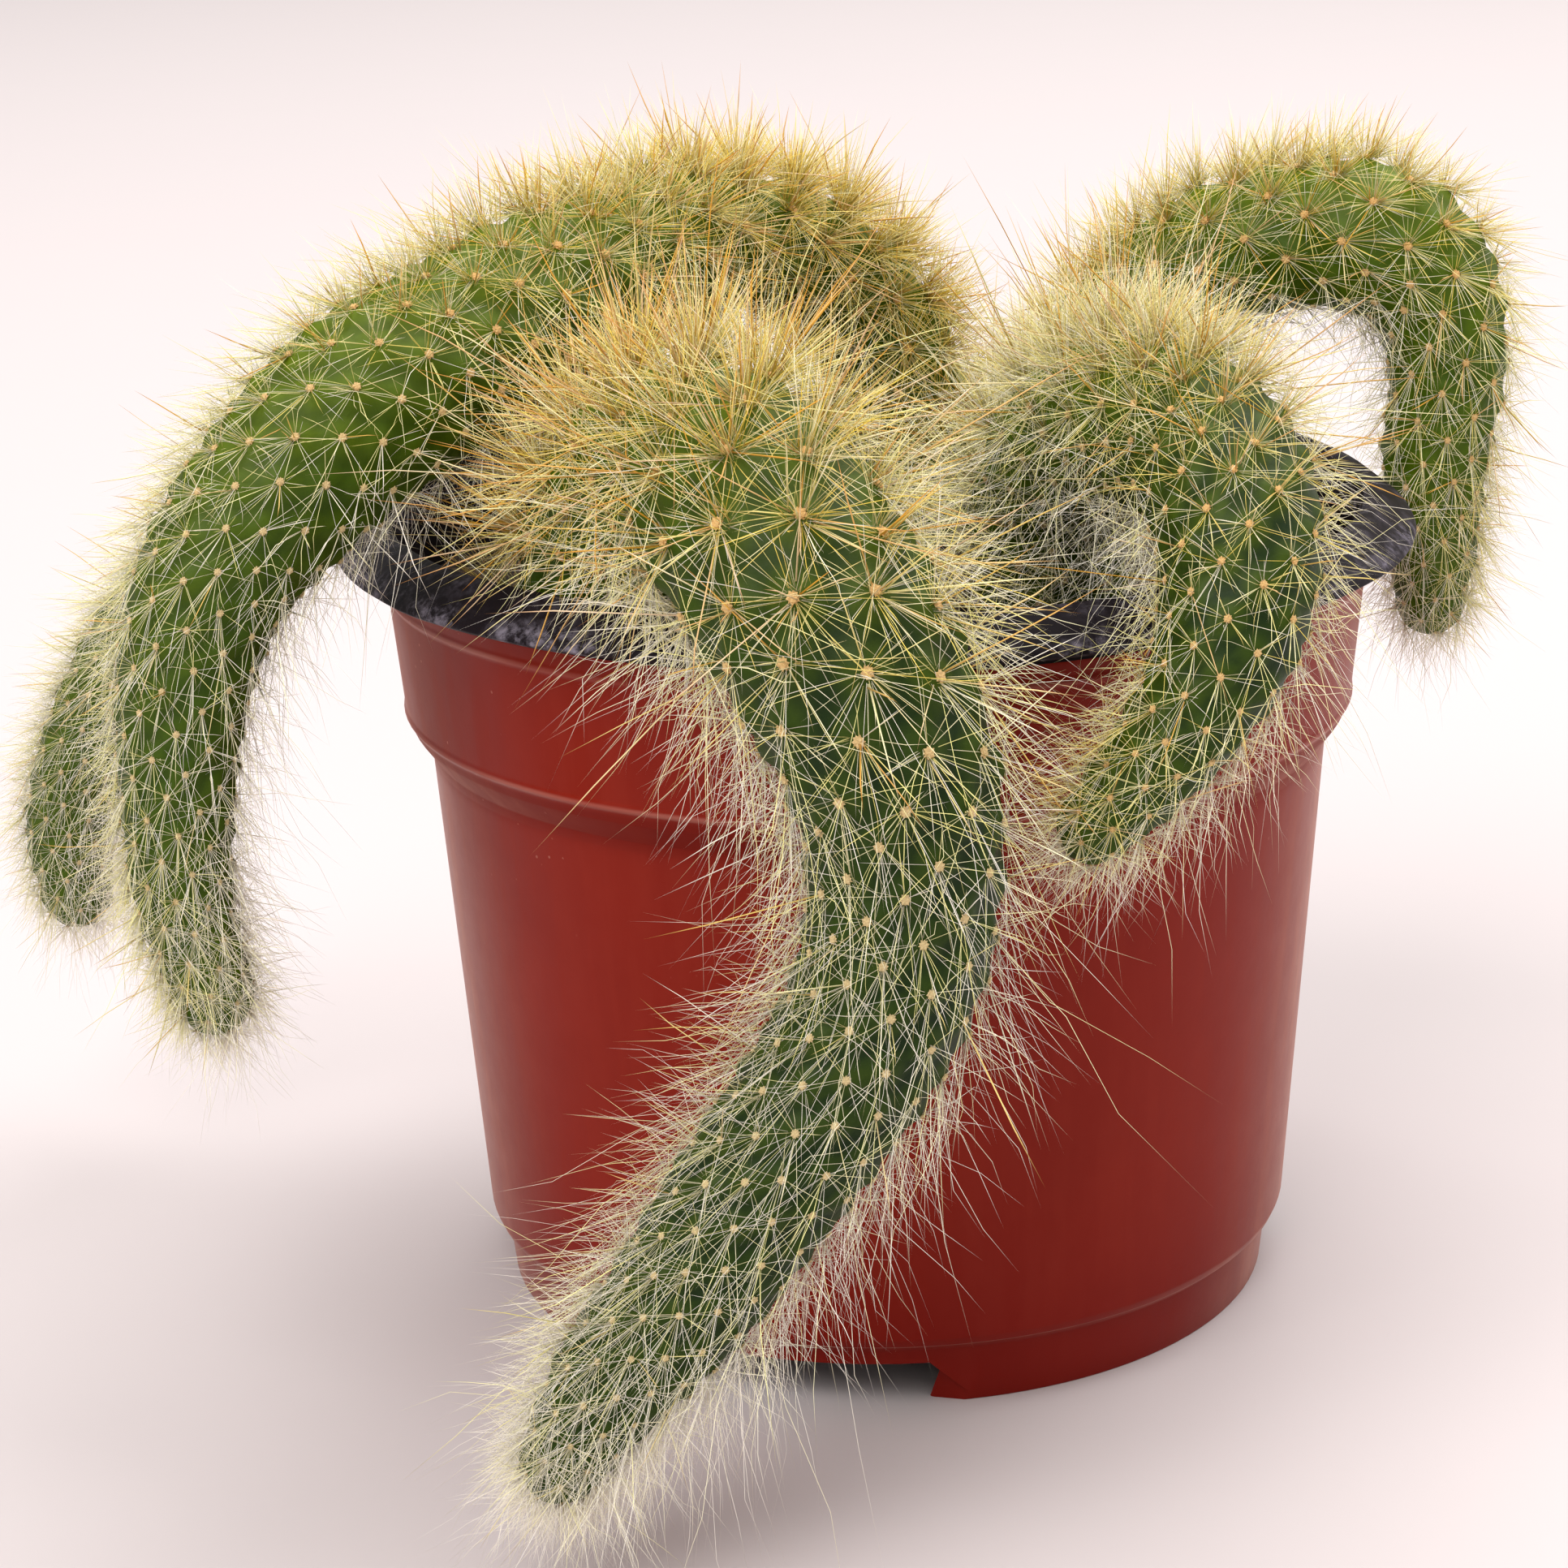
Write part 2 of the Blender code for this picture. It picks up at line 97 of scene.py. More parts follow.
# The step below the band, and the lip's edge and top: heights that finishes fade in and out at.
STEP_LOW = (51.5 * MM, 54 * MM)
STEP_HIGH = (56.2 * MM, 57.0 * MM)
EDGE_LOW = (71.2 * MM, 72.0 * MM)
EDGE_HIGH = (73.0 * MM, 74.6 * MM)
TOP = (74.0 * MM, 75.4 * MM)
LIP_BOTTOM = 71.6 * MM
# The thin lip waves more and more from this radius outwards.
WAVE_START = 46.5 * MM
WAVE_REACH = 3.5 * MM
WAVE_SIZE = 9 * MM
# The drain holes round the one in the middle, and the notches in the foot.
DRAIN_HOLES = 5
DRAIN_RADIUS = 3.5 * MM
DRAIN_CIRCLE = 23.0 * MM
DRAIN_HEIGHT = 5 * MM
DRAIN_CUT = 4 * MM
NOTCHES = 3
NOTCH_REACH = 6 * MM
NOTCH_ANGLE = math.radians(-104)
NOTCH_TOP_WIDTH = 23.0 * MM
NOTCH_LOW_WIDTH = 33.0 * MM
NOTCH_HEIGHT = 4.2 * MM

# The soil's outline in mm, down from the edge of its top.
SOIL_LEVEL = 66.0 * MM
SOIL_SIDE = ((44.0, 66.0), (43.2, 58.4), (40.9, 53.7), (37.5, 7.2), (35.9, 5.9), (0.0, 5.9))
SOIL_RINGS = 26
SOIL_SEGMENTS = 96
# The height and the size of the soil's gentle bumps and of its small lumps.
SOIL_BUMPS = ((0.9 * MM, 14 * MM), (0.45 * MM, 2.6 * MM))
CRUMB_CIRCLE = 43.0 * MM

# Each stem's centre line above the soil, from root to tip: x, y, z and radius, all in mm.
STEM_LINES = {
    "stem_front": (
        (-23, -22, 68, 8.8), (-22, -27, 77, 9.3), (-18, -36, 85, 9.3), (-13, -46, 87, 9.3),
        (-9, -56, 84, 9.3), (-5, -61, 78, 9.2), (-2, -63, 72, 8.6), (0, -63, 65, 8.0),
        (0, -63, 57, 7.6), (-2, -64, 49, 7.2), (-7, -65, 41, 6.8), (-13, -66, 33, 6.5),
        (-18, -67, 26, 6.0), (-24, -68, 19, 5.0), (-28, -69, 13, 3.6)),
    "stem_left": (
        (5, 20, 68, 6.4), (4, 22, 77, 6.5), (2, 22, 85, 6.4), (-4, 19, 93, 6.4),
        (-11, 12, 97, 6.4), (-18, 4, 98, 6.8), (-24, -5, 97, 7.2), (-30, -13, 96, 7.8),
        (-37, -21, 93, 8.2), (-44, -28, 90, 8.2), (-50, -33, 85, 7.6), (-56, -36, 78, 6.6),
        (-59, -38, 69, 5.6), (-60, -39, 60, 4.8), (-60, -40, 51, 4.2), (-58, -41, 43, 3.4)),
    "stem_far_left": (
        (-21, 14, 68, 5.6), (-22, 15, 75, 5.8), (-27, 18, 81, 5.8), (-35, 21, 84, 5.7),
        (-44, 24, 83, 5.6), (-53, 26, 78, 5.5), (-61, 28, 71, 5.4), (-68, 28, 63, 5.3),
        (-75, 28, 54, 5.2), (-80, 28, 45, 5.0), (-83, 28, 36, 4.6), (-83, 28, 29, 3.8)),
    "stem_right_back": (
        (20, 28, 68, 6.4), (21, 28, 75, 6.7), (24, 27, 82, 6.8), (29, 25, 88, 6.8),
        (35, 22, 93, 6.8), (42, 19, 95, 6.8), (49, 17, 95, 7.1), (54, 16, 91, 6.6),
        (56, 15, 83, 5.6), (55, 15, 74, 5.1), (55, 15, 65, 4.4), (55, 15, 60, 3.5)),
    "stem_right_front": (
        (16, -5, 68, 7.0), (16, -8, 76, 7.2), (18, -15, 83, 7.4), (23, -27, 87, 7.5),
        (27, -39, 86, 7.1), (28, -47, 82, 6.7), (27, -52, 76, 5.9), (24, -54, 70, 4.9),
        (20, -55, 65, 4.1), (16, -56, 61, 3.2)),
}
# The side that faced the light at each stem's root and at its tip. More and richer spines
# grow there.
STEM_LIGHT_SIDES = {
    "stem_front": ((-0.2, -0.3, 0.9), (0.1, -0.25, 0.95)),
    "stem_left": ((0.65, -0.3, 0.75), (-0.65, 0.05, 0.75)),
    "stem_far_left": ((-0.6, 0.0, 0.8), (-0.6, 0.0, 0.8)),
    "stem_right_back": ((-0.35, -0.25, 0.85), (0.55, -0.05, 0.8)),
    "stem_right_front": ((-0.3, -0.2, 0.9), (0.3, 0.0, 0.95))}
# In the soil each stem stands on this height in mm, and is a little thinner there and at a
# second height halfway to its neck.
STEM_FOOT = 51.3
STEM_NECK = 64
FOOT_GIRTH = 0.86
MIDDLE_GIRTH = 0.95
# The length of a stem's rounded tip, as a share of its thickness there.
STEM_TIP_LENGTH = 1.15
# The pitch of areoles on wide skin. Pads and tubercles are smaller where the pitch is less,
# and tubercles fade over a length before the tip.
WIDE_PITCH = 5 * MM
FADING_TIP = 10 * MM
# How many places along a stem its spiral of areoles is worked out at, and how far each areole
# strays from the spiral, as a share of its pitch.
SPIRAL_PLACES = 3000
AREOLE_STRAY = 0.035

# How a stem's coat changes from its root (0) to its tip (1). The columns are the place, how
# dark the skin is, the skin area of one areole in mm2, the share of golden spines, how
# strongly the spines lean to the tip, then for each areole the number of radial spines and
# their length in mm, and the same for the central spines and the hairs.
COAT_COLUMNS = ("place", "shade", "cell", "gold", "sweep", "radials", "radial_mm", "centrals",
                "central_mm", "hairs", "hair_mm")
STEM_COATS = {
    "stem_front": (
        (0, 0.3, 26, 0.7, 0.25, 20, 8, 6, 11, 5, 10),
        (0.2, 0.35, 26, 0.64, 0.3, 19, 8.6, 5.5, 12, 5, 10),
        (0.32, 0.5, 26, 0.48, 0.35, 17, 9.2, 3.2, 12, 5, 10),
        (0.42, 0.8, 24, 0.38, 0.45, 15, 8.8, 2, 11, 4.5, 9),
        (0.52, 1, 18, 0.28, 0.6, 10, 7.4, 1, 9, 3.5, 8.5),
        (0.62, 1, 13, 0.22, 0.8, 6.8, 7, 0.5, 7, 2.8, 8.5),
        (0.8, 1, 10, 0.2, 0.85, 7.6, 6.2, 0.4, 6.5, 3.2, 8),
        (0.92, 0.85, 8, 0.16, 0.75, 16, 5.2, 0.8, 5.5, 7, 6.5),
        (0.97, 0.6, 6, 0.14, 0.45, 32, 4.2, 2, 5, 13, 5),
        (1, 0.5, 5, 0.14, 0.3, 40, 3.8, 3, 4.5, 13, 4.5)),
    "stem_left": (
        (0, 0, 24, 0.66, 0.2, 34, 6.8, 2.4, 8, 1, 8),
        (0.26, 0, 23, 0.66, 0.25, 32, 6.6, 2.4, 7.8, 1, 8),
        (0.38, 0.1, 22, 0.56, 0.4, 22, 6.2, 2, 6.8, 1.2, 7),
        (0.48, 0.25, 22, 0.48, 0.6, 13, 6, 1.2, 5.8, 1.2, 6.5),
        (0.6, 0.35, 14, 0.36, 0.75, 8, 5, 0.8, 5, 1.4, 5.6),
        (0.7, 0.36, 10, 0.28, 0.85, 9.5, 4, 0.6, 4.6, 1.8, 5.2),
        (0.85, 0.4, 8, 0.26, 0.85, 13, 3.6, 0.6, 4.5, 3, 5),
        (0.93, 0.25, 6.5, 0.28, 0.6, 34, 3.4, 1.5, 4.4, 6, 4.6),
        (1, 0.1, 5, 0.28, 0.3, 60, 3.2, 3, 4.2, 8, 4)),
    "stem_far_left": (
        (0, 0.5, 13, 0.22, 0.5, 8, 5, 0.8, 6, 2.5, 6.5),
        (0.6, 0.45, 9.5, 0.2, 0.8, 7, 4.4, 0.6, 5, 2.6, 6),
        (0.9, 0.2, 7, 0.24, 0.6, 14, 4, 1, 4.5, 4, 4.8),
        (1, 0, 5, 0.26, 0.3, 30, 3.8, 2, 4.2, 6, 4)),
    "stem_right_back": (
        (0, 0, 20, 0.62, 0.3, 34, 6.4, 2.6, 6.8, 1.5, 8),
        (0.4, 0, 17, 0.5, 0.45, 24, 5.4, 2, 5.4, 1.4, 6.5),
        (0.6, 0, 15, 0.48, 0.5, 21, 4.8, 1.8, 5, 1.2, 6),
        (0.75, 0, 10.5, 0.44, 0.6, 19, 4.2, 1.4, 4.6, 1.8, 5.5),
        (0.92, 0, 7, 0.38, 0.6, 26, 3.8, 1.6, 4.4, 4, 4.5),
        (1, 0, 5, 0.34, 0.3, 36, 3.6, 2, 4.2, 6, 4)),
    "stem_right_front": (
        (0, 0, 20, 0.36, 0.3, 24, 7.6, 2, 12, 1.3, 14),
        (0.36, 0.1, 18, 0.34, 0.35, 27, 7.2, 2.6, 13, 1.4, 13),
        (0.52, 0.8, 14, 0.44, 0.5, 8.5, 5.6, 1.4, 7, 3, 8),
        (0.75, 0.9, 10, 0.42, 0.55, 7.5, 4.6, 1, 5.6, 3.5, 6.5),
        (0.93, 0.6, 7, 0.46, 0.5, 16, 4.4, 2, 5, 4, 5),
        (1, 0.5, 5, 0.5, 0.3, 32, 4, 3, 4.6, 6, 4.5)),
}

# The air that spines and hairs may fill: how far past the CAD's box, and how far off the floor
# and the pot's wall. The lip's top is given in mm, as radii and the heights just above it.
ROOM = 9 * MM
FLOOR_GAP = 0.5 * MM
WALL_GAP = 0.35 * MM
WALL_TOP = 73.4 * MM
LIP_INNER = 44.8 * MM
LIP_OUTER = 50.4 * MM
LIP_TOP = ((45, 46.8, 50), (76.0, 75.8, 73.0))
# A spine's path is tried at this many places. One that is stopped before this share is left out.
PATH_STEPS = 8
SHORTEST = 0.5
# How high over the skin a spine's foot is, on wide skin.
ROOT_LIFT = 0.3 * MM

# The photograph's view: a lens of 84 mm, aimed at a point beside the pot's axis.
CAMERA_LENS = 83.85
CAMERA_SENSOR = 36.0
CAMERA_DISTANCE = 348.54 * MM
CAMERA_ELEVATION = math.radians(17.64)
CAMERA_ROLL = math.radians(-1.53)
CAMERA_AIM = Vector((-9.02, 0.0, 46.99)) * MM

# Each lamp's side and place in metres, and the height above the middle that it is turned to.
LAMPS = {
    "key": (2.0, (0.6, 0.7, 2.0), 0.05),
    "fill": (1.2, (-0.65, -1.0, 1.35), 0.05),
    "side": (0.8, (1.2, 0.25, 0.6), 0.04)}
SKY_COLOUR = (1.0, 0.985, 0.98, 1.0)


def paint(red, green, blue):
    """A colour given as screen values from 0 to 255, as linear numbers."""
    return tuple((value / 255) ** 2.2 for value in (red, green, blue))


def colour_setting(name, description, red, green, blue):
    """A colour that a user can change, with its default as screen values."""
    return FloatVectorProperty(name=name, description=description, subtype="COLOR", size=3,
                               min=0, max=1, default=paint(red, green, blue))


def measure(name, description, default, unit="LENGTH", least=0.0):
    """A length or a power that a user can change."""
    return FloatProperty(name=name, description=description, default=default, unit=unit, min=least)


class PotSettings(bpy.types.PropertyGroup):
    """The pot's colours and surface."""
    outside: colour_setting("Outside", "Colour of the pot's outside", 129, 28, 3)
    outside_dark: colour_setting("Outside Dark", "Colour of the outside's darker clouds", 96, 16, 3)
    inside: colour_setting("Inside", "Colour of the pot's inside and lip", 20, 14, 20)
    scuff: colour_setting("Scuffs", "Colour of the scuffs on the lip", 138, 130, 142)
    roughness: FloatProperty(
        name="Roughness", description="How dull the outside is", subtype="FACTOR",
        min=0, max=1, default=0.46)
    segments: IntProperty(
        name="Segments", description="Faces round the pot", min=24, max=256, default=120)
    lip_wave: measure("Lip Wave", "How far the thin lip rises and falls", 0.22 * MM)


class SoilSettings(bpy.types.PropertyGroup):
    """The soil's colours and crumbs."""
    dark: colour_setting("Dark", "Colour of the damp soil", 38, 30, 24)
    light: colour_setting("Light", "Colour of the dry crumbs", 104, 80, 56)
    crumbs: IntProperty(
        name="Crumbs", description="Number of loose crumbs", min=0, max=3000, default=700)
    crumb_size: measure("Crumb Size", "Radius of a middling crumb", 0.75 * MM, least=0.1 * MM)
    seed: IntProperty(name="Seed", description="Seed of the crumbs' places", default=3)


class SkinSettings(bpy.types.PropertyGroup):
    """The stems' skin, tubercles and felt pads."""
    step: measure("Mesh Step", "Size of the skin's faces along a stem", 0.85 * MM, least=0.3 * MM)
    tubercle: measure("Tubercle Height", "Height of a tubercle over its valleys", 1.25 * MM)
    light: colour_setting("Light Green", "Skin colour in the sun", 114, 132, 8)
    green: colour_setting("Green", "Skin colour of a stem's middle", 62, 85, 0)
    dark: colour_setting("Dark Green", "Skin colour in the valleys and near the tips", 18, 38, 2)
    felt: colour_setting("Felt", "Colour of the felt among golden spines", 206, 156, 84)
    felt_pale: colour_setting("Pale Felt", "Colour of the felt among white spines", 198, 178, 132)
    pad_radius: measure("Pad Radius", "Radius of a felt pad on wide skin", 0.52 * MM, least=0.1 * MM)
    seed: IntProperty(name="Seed", description="Seed of the areoles' places", default=11)


class SpineSettings(bpy.types.PropertyGroup):
    """The spines' and hairs' thickness and colours."""
    radial_radius: measure("Radial Radius", "Radius of a radial spine at its foot", 0.039 * MM,
                           least=0.01 * MM)
    central_radius: measure("Central Radius", "Radius of a central spine at its foot", 0.075 * MM,
                            least=0.01 * MM)
    hair_radius: measure("Hair Radius", "Radius of a hair at its foot", 0.040 * MM, least=0.01 * MM)
    white: colour_setting("White", "Colour of the hairs", 250, 241, 228)
    cream: colour_setting("Cream", "Colour of the pale spines", 248, 240, 156)
    gold: colour_setting("Gold", "Colour of the golden spines", 247, 214, 82)
    amber: colour_setting("Amber", "Colour of the golden central spines", 228, 168, 58)
    brown: colour_setting("Brown", "Colour of the golden spines' points", 168, 104, 40)
    seed: IntProperty(name="Seed", description="Seed of the spines' directions", default=5)


class StudioSettings(bpy.types.PropertyGroup):
    """The floor and the lights."""
    floor: colour_setting("Floor", "Colour of the floor", 198, 188, 187)
    floor_size: measure("Floor Size", "Side of the floor", 8.0, least=1)
    sky: FloatProperty(
        name="Room Light", description="Strength of the white light from all round",
        min=0, default=0.65)
    key: measure("Key Light", "Power of the large lamp above", 50.0, "POWER")
    fill: measure("Fill Light", "Power of the lamp in front", 25.0, "POWER")
    side: measure("Side Light", "Power of the lamp at the right", 2.2, "POWER")


class Socket:
    """A node's output that can be used in sums."""

    def __init__(self, shader, socket):
        self.shader = shader
        self.socket = socket

    def _sum(self, operation, *values):
        return self.shader.node("ShaderNodeMath", {"operation": operation}, dict(enumerate(values)))

    def __add__(self, other):
        return self._sum("ADD", self, other)

    def __sub__(self, other):
        return self._sum("SUBTRACT", self, other)

    def __rsub__(self, other):
        return self._sum("SUBTRACT", other, self)

    def __mul__(self, other):
        return self._sum("MULTIPLY", self, other)

    def __gt__(self, other):
        return self._sum("GREATER_THAN", self, other)

    def size(self):
        """The value without its sign."""
        return self._sum("ABSOLUTE", self)

    def clamp(self):
        """The value held between 0 and 1."""
        return self.shader.node("ShaderNodeClamp", {}, {"Value": self})

    def ramp(self, low, high):
        """0 below low, 1 above high, and a smooth change between them."""
        return self.shader.node(
            "ShaderNodeMapRange", {"interpolation_type": "SMOOTHSTEP"},
            {"Value": self, "From Min": low, "From Max": high})


class Finish:
    """A material with a Principled shader, and the nodes that feed it."""

    def __init__(self, name):
        self.material = bpy.data.materials.new(name)
        self.material.use_nodes = True
        self.tree = self.material.node_tree
        self.surface = self.tree.nodes["Principled BSDF"]

    def node(self, kind, settings, inputs, output=0):
        """A new node with its settings and inputs, and the output that is wanted."""
        made = self.tree.nodes.new(kind)
        for name, value in settings.items():
            setattr(made, name, value)
        for name, value in inputs.items():
            self.feed(made.inputs[name], value)
        return Socket(self, made.outputs[output])

    def feed(self, target, value):
        """Link a socket to an input, or set the input's own value."""
        if isinstance(value, Socket):
            self.tree.links.new(value.socket, target)
        elif hasattr(target.default_value, "__len__") and len(value) < len(target.default_value):
            target.default_value = (*value, 1.0)
        else:
            target.default_value = value

    def mix(self, share, first, second):
        """A colour between two colours."""
        return self.node("ShaderNodeMix", {"data_type": "RGBA"}, {0: share, 6: first, 7: second}, 2)

    def place(self):
        """The point's own place on the piece, in metres."""
        return self.node("ShaderNodeTexCoord", {}, {}, "Object")

    def noise(self, size, detail=3.0, roughness=0.55, stretch=(1, 1, 1)):
        """Cloudy noise whose lumps are about one size across."""
        point = self.node("ShaderNodeMapping", {}, {"Vector": self.place(), "Scale": stretch})
        return self.node("ShaderNodeTexNoise", {}, {
            "Vector": point, "Scale": 1 / size, "Detail": detail, "Roughness": roughness})

    def specks(self, size, radius):
        """1 inside small round specks that lie about one size apart."""
        distance = self.node("ShaderNodeTexVoronoi", {}, {"Vector": self.place(), "Scale": 1 / size})
        return 1 - distance.ramp(radius * 0.6, radius)

    def value(self, name):
        """A number that the mesh holds for each point."""
        return self.node("ShaderNodeAttribute", {"attribute_name": name}, {}, "Fac")

    def part(self, vector, axis):
        """One part of a vector."""
        return self.node("ShaderNodeSeparateXYZ", {}, {"Vector": vector}, axis)

    def set(self, **inputs):
        """Feed the surface's inputs, named with underscores."""
        for name, value in inputs.items():
            self.feed(self.surface.inputs[name.replace("_", " ").title().replace("Ior", "IOR")], value)
        return self.material

    def bump(self, height, depth, strength=1.0):
        """Raise and lower the surface by a height from 0 to 1."""
        normal = self.node("ShaderNodeBump", {}, {
            "Height": height, "Distance": depth, "Strength": strength})
        self.feed(self.surface.inputs["Normal"], normal)


def add_object(name, data):
    """Add a new object to the scene."""
    made = bpy.data.objects.new(name, data)
    bpy.context.scene.collection.objects.link(made)
    return made


def add_piece(name, mesh, materials, replaces=None):
    """Add a finished mesh as a piece that rides with the pot."""
    piece = add_object(name, mesh)
    for material in materials:
        mesh.materials.append(material)
    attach(piece, "root")
    if replaces:
        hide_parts(replaces)


def to_mesh(bm, name, smooth_below=None):
    """Turn a bmesh into a mesh, with smooth shading below an edge angle in degrees."""
    mesh = bpy.data.meshes.new(name)
    bm.to_mesh(mesh)
    bm.free()
    if smooth_below is not None:
        mesh.shade_smooth()
        mesh.set_sharp_from_angle(angle=math.radians(smooth_below))
    return mesh


def set_numbers(mesh, name, values):
    """Keep one number for each point of a mesh."""
    layer = mesh.attributes.new(name, "FLOAT", "POINT")
    layer.data.foreach_set("value", np.asarray(values, dtype=np.float32).ravel())


def get_points(mesh):
    """The places of a mesh's points."""
    points = np.empty(len(mesh.vertices) * 3, dtype=np.float32)
    mesh.vertices.foreach_get("co", points)
    return points.reshape(-1, 3)


def unit(vectors):
    """Vectors of length 1."""
    return vectors / np.linalg.norm(vectors, axis=-1, keepdims=True)


def outline_radius(outline, height):
    """The radius that an outline in mm has at heights in metres."""
    radii, heights = zip(*outline)
    return np.interp(height / MM, heights, radii) * MM


def spin_outline(outline, segments, rounding=0.0):
    """Turn an outline in mm round the Z axis, with its corners rounded first."""
    bm = bmesh.new()
    corners = [bm.verts.new((radius * MM, 0.0, height * MM)) for radius, height in outline]
    for pair in zip(corners, corners[1:]):
        bm.edges.new(pair)
    if outline[0][0] > 0.0:
        bm.edges.new((corners[-1], corners[0]))
    if rounding:
        bmesh.ops.bevel(bm, geom=corners, offset=rounding, affect="VERTICES", segments=3,
                        profile=0.5, material=-1)
    bmesh.ops.spin(bm, geom=bm.verts[:] + bm.edges[:], cent=(0, 0, 0), axis=(0, 0, 1),
                   angle=math.tau, steps=segments, use_merge=True)
    bmesh.ops.remove_doubles(bm, verts=bm.verts, dist=0.001 * MM)
    bmesh.ops.recalc_face_normals(bm, faces=bm.faces)
    return bm


def modified(mesh, kind, **settings):
    """The mesh that a modifier with these settings makes of a mesh."""
    holder = add_object("holder", mesh)
    modifier = holder.modifiers.new("modifier", kind)
    for name, value in settings.items():
        setattr(modifier, name, value)
    depsgraph = bpy.context.evaluated_depsgraph_get()
    result = bpy.data.meshes.new_from_object(holder.evaluated_get(depsgraph))
    bpy.data.objects.remove(holder, do_unlink=True)
    return result


def cut(mesh, cutters):
    """The mesh without what the cutters, a bmesh of closed shapes, fill."""
    cutter = add_object("cutter", to_mesh(cutters, "cutter"))
    result = modified(mesh, "BOOLEAN", operation="DIFFERENCE", solver="EXACT", object=cutter)
    bpy.data.objects.remove(cutter, do_unlink=True)
    return result


def repeat(shape, count):
    """A mesh that holds a shape's mesh many times over."""
    return modified(shape, "ARRAY", use_relative_offset=False, count=count)


def pot_cutters():
    """The shapes of the drain holes and of the notches in the foot."""
    bm = bmesh.new()
    for number in range(DRAIN_HOLES):
        turn = Matrix.Rotation(math.tau * number / DRAIN_HOLES, 4, "Z")
        place = turn @ Matrix.Translation((DRAIN_CIRCLE, 0, DRAIN_HEIGHT))
        bmesh.ops.create_cone(bm, cap_ends=True, segments=28, radius1=DRAIN_RADIUS,
                              radius2=DRAIN_RADIUS, depth=DRAIN_CUT, matrix=place)
    for number in range(NOTCHES):
        made = bmesh.ops.create_cube(bm, size=1.0)["verts"]
        for vert in made:
            top = vert.co.z > 0
            width = NOTCH_TOP_WIDTH if top else NOTCH_LOW_WIDTH
            height = NOTCH_HEIGHT if top else -1 * MM
            reach = POT_OUTSIDE[0][0] * MM + vert.co.x * NOTCH_REACH
            vert.co = Vector((reach, vert.co.y * width, height))
        bmesh.ops.rotate(bm, verts=made, cent=(0, 0, 0), matrix=Matrix.Rotation(
            NOTCH_ANGLE + math.tau * number / NOTCHES, 3, "Z"))
    return bm


def is_outside(centre, normal):
    """True for a face of the pot's red outside, or of the cut ends at the foot's notches."""
    radius = math.hypot(centre.x, centre.y)
    facing = (normal.x * centre.x + normal.y * centre.y) / radius
    shell = outline_radius(POT_OUTSIDE, centre.z) - 0.3 * MM
    if 0.2 * MM < centre.z < NOTCH_HEIGHT * 1.02 and radius > POT_FLOOR[3][0] * MM:
        return facing > -0.5
    return centre.z < LIP_BOTTOM and radius > shell and facing > 0.1


def pot_outside_finish(settings):
    """Red-brown plastic with faint cloudy wear, dust specks and streaks. Painted highlights line
    the creases, painted shade darkens the bottom and the band's step, and a patchy painted
    sheen lightens faces seen at a grazing angle.
    """
    finish = Finish("pot_outside")
    cloud = finish.noise(16 * MM, detail=5)
    wear = finish.noise(3.2 * MM, detail=6, roughness=0.7)
    streaks = (finish.noise(2.6 * MM, detail=4, stretch=(1, 1, 0.12)) - 0.42).ramp(0.0, 0.25)
    height = finish.part(finish.place(), "Z")
    dusty = (finish.noise(18 * MM, detail=2) - 0.5).ramp(0.0, 0.12) * height.ramp(38 * MM, 52 * MM)
    dust = finish.specks(1.7 * MM, 0.10) * (wear > 0.48) * dusty
    # Pale lines of painted highlight along the two creases, fading in and out round the pot.
    crease_highlights = 0
    for place in CREASE_HEIGHTS:
        crease_highlights = crease_highlights + 1 - (height - place).size().ramp(0.1 * MM, 0.4 * MM)
    crease_highlights = crease_highlights * (finish.noise(26 * MM, detail=2) - 0.3).ramp(0.0, 0.3) * 0.25
    # Painted shade: the outside darkens towards the bottom.
    low = 1 - height.ramp(0, 22 * MM)
    # Painted shade darkens the step below the band.
    step = height.ramp(*STEP_LOW) * (1 - height.ramp(*STEP_HIGH))
    # A patchy painted sheen: faces seen at a grazing angle are lightened, less so near the band.
    facing = finish.node("ShaderNodeLayerWeight", {}, {"Blend": 0.3}, "Facing")
    pale_share = facing.ramp(0.3, 1.0) * (wear * 0.5 + streaks * 0.3 + cloud * 0.35).clamp()
    pale_share = pale_share * (1 - height.ramp(50 * MM, 58 * MM) * 0.45)
    red = finish.mix(cloud * 0.5, settings.outside, settings.outside_dark)
    red = finish.mix((wear * 0.08 + streaks * 0.05).clamp(), red, paint(168, 76, 62))
    red = finish.mix((low * 0.4).clamp(), red, paint(104, 12, 14))
    red = finish.mix(step * 0.3, red, paint(84, 10, 6))
    red = finish.mix((pale_share * 0.9).clamp(), red, paint(214, 165, 148))
    red = finish.mix((dust * 0.5 + crease_highlights).clamp(), red, paint(206, 150, 134))
    rough = cloud * 0.14 + streaks * 0.1 + (settings.roughness - 0.12) + dust * 0.3 + step * 0.25
    finish.set(base_color=red, ior=1.22, roughness=rough)
    finish.bump(wear + cloud * 2.0, 0.04 * MM, 0.5)
    return finish.material


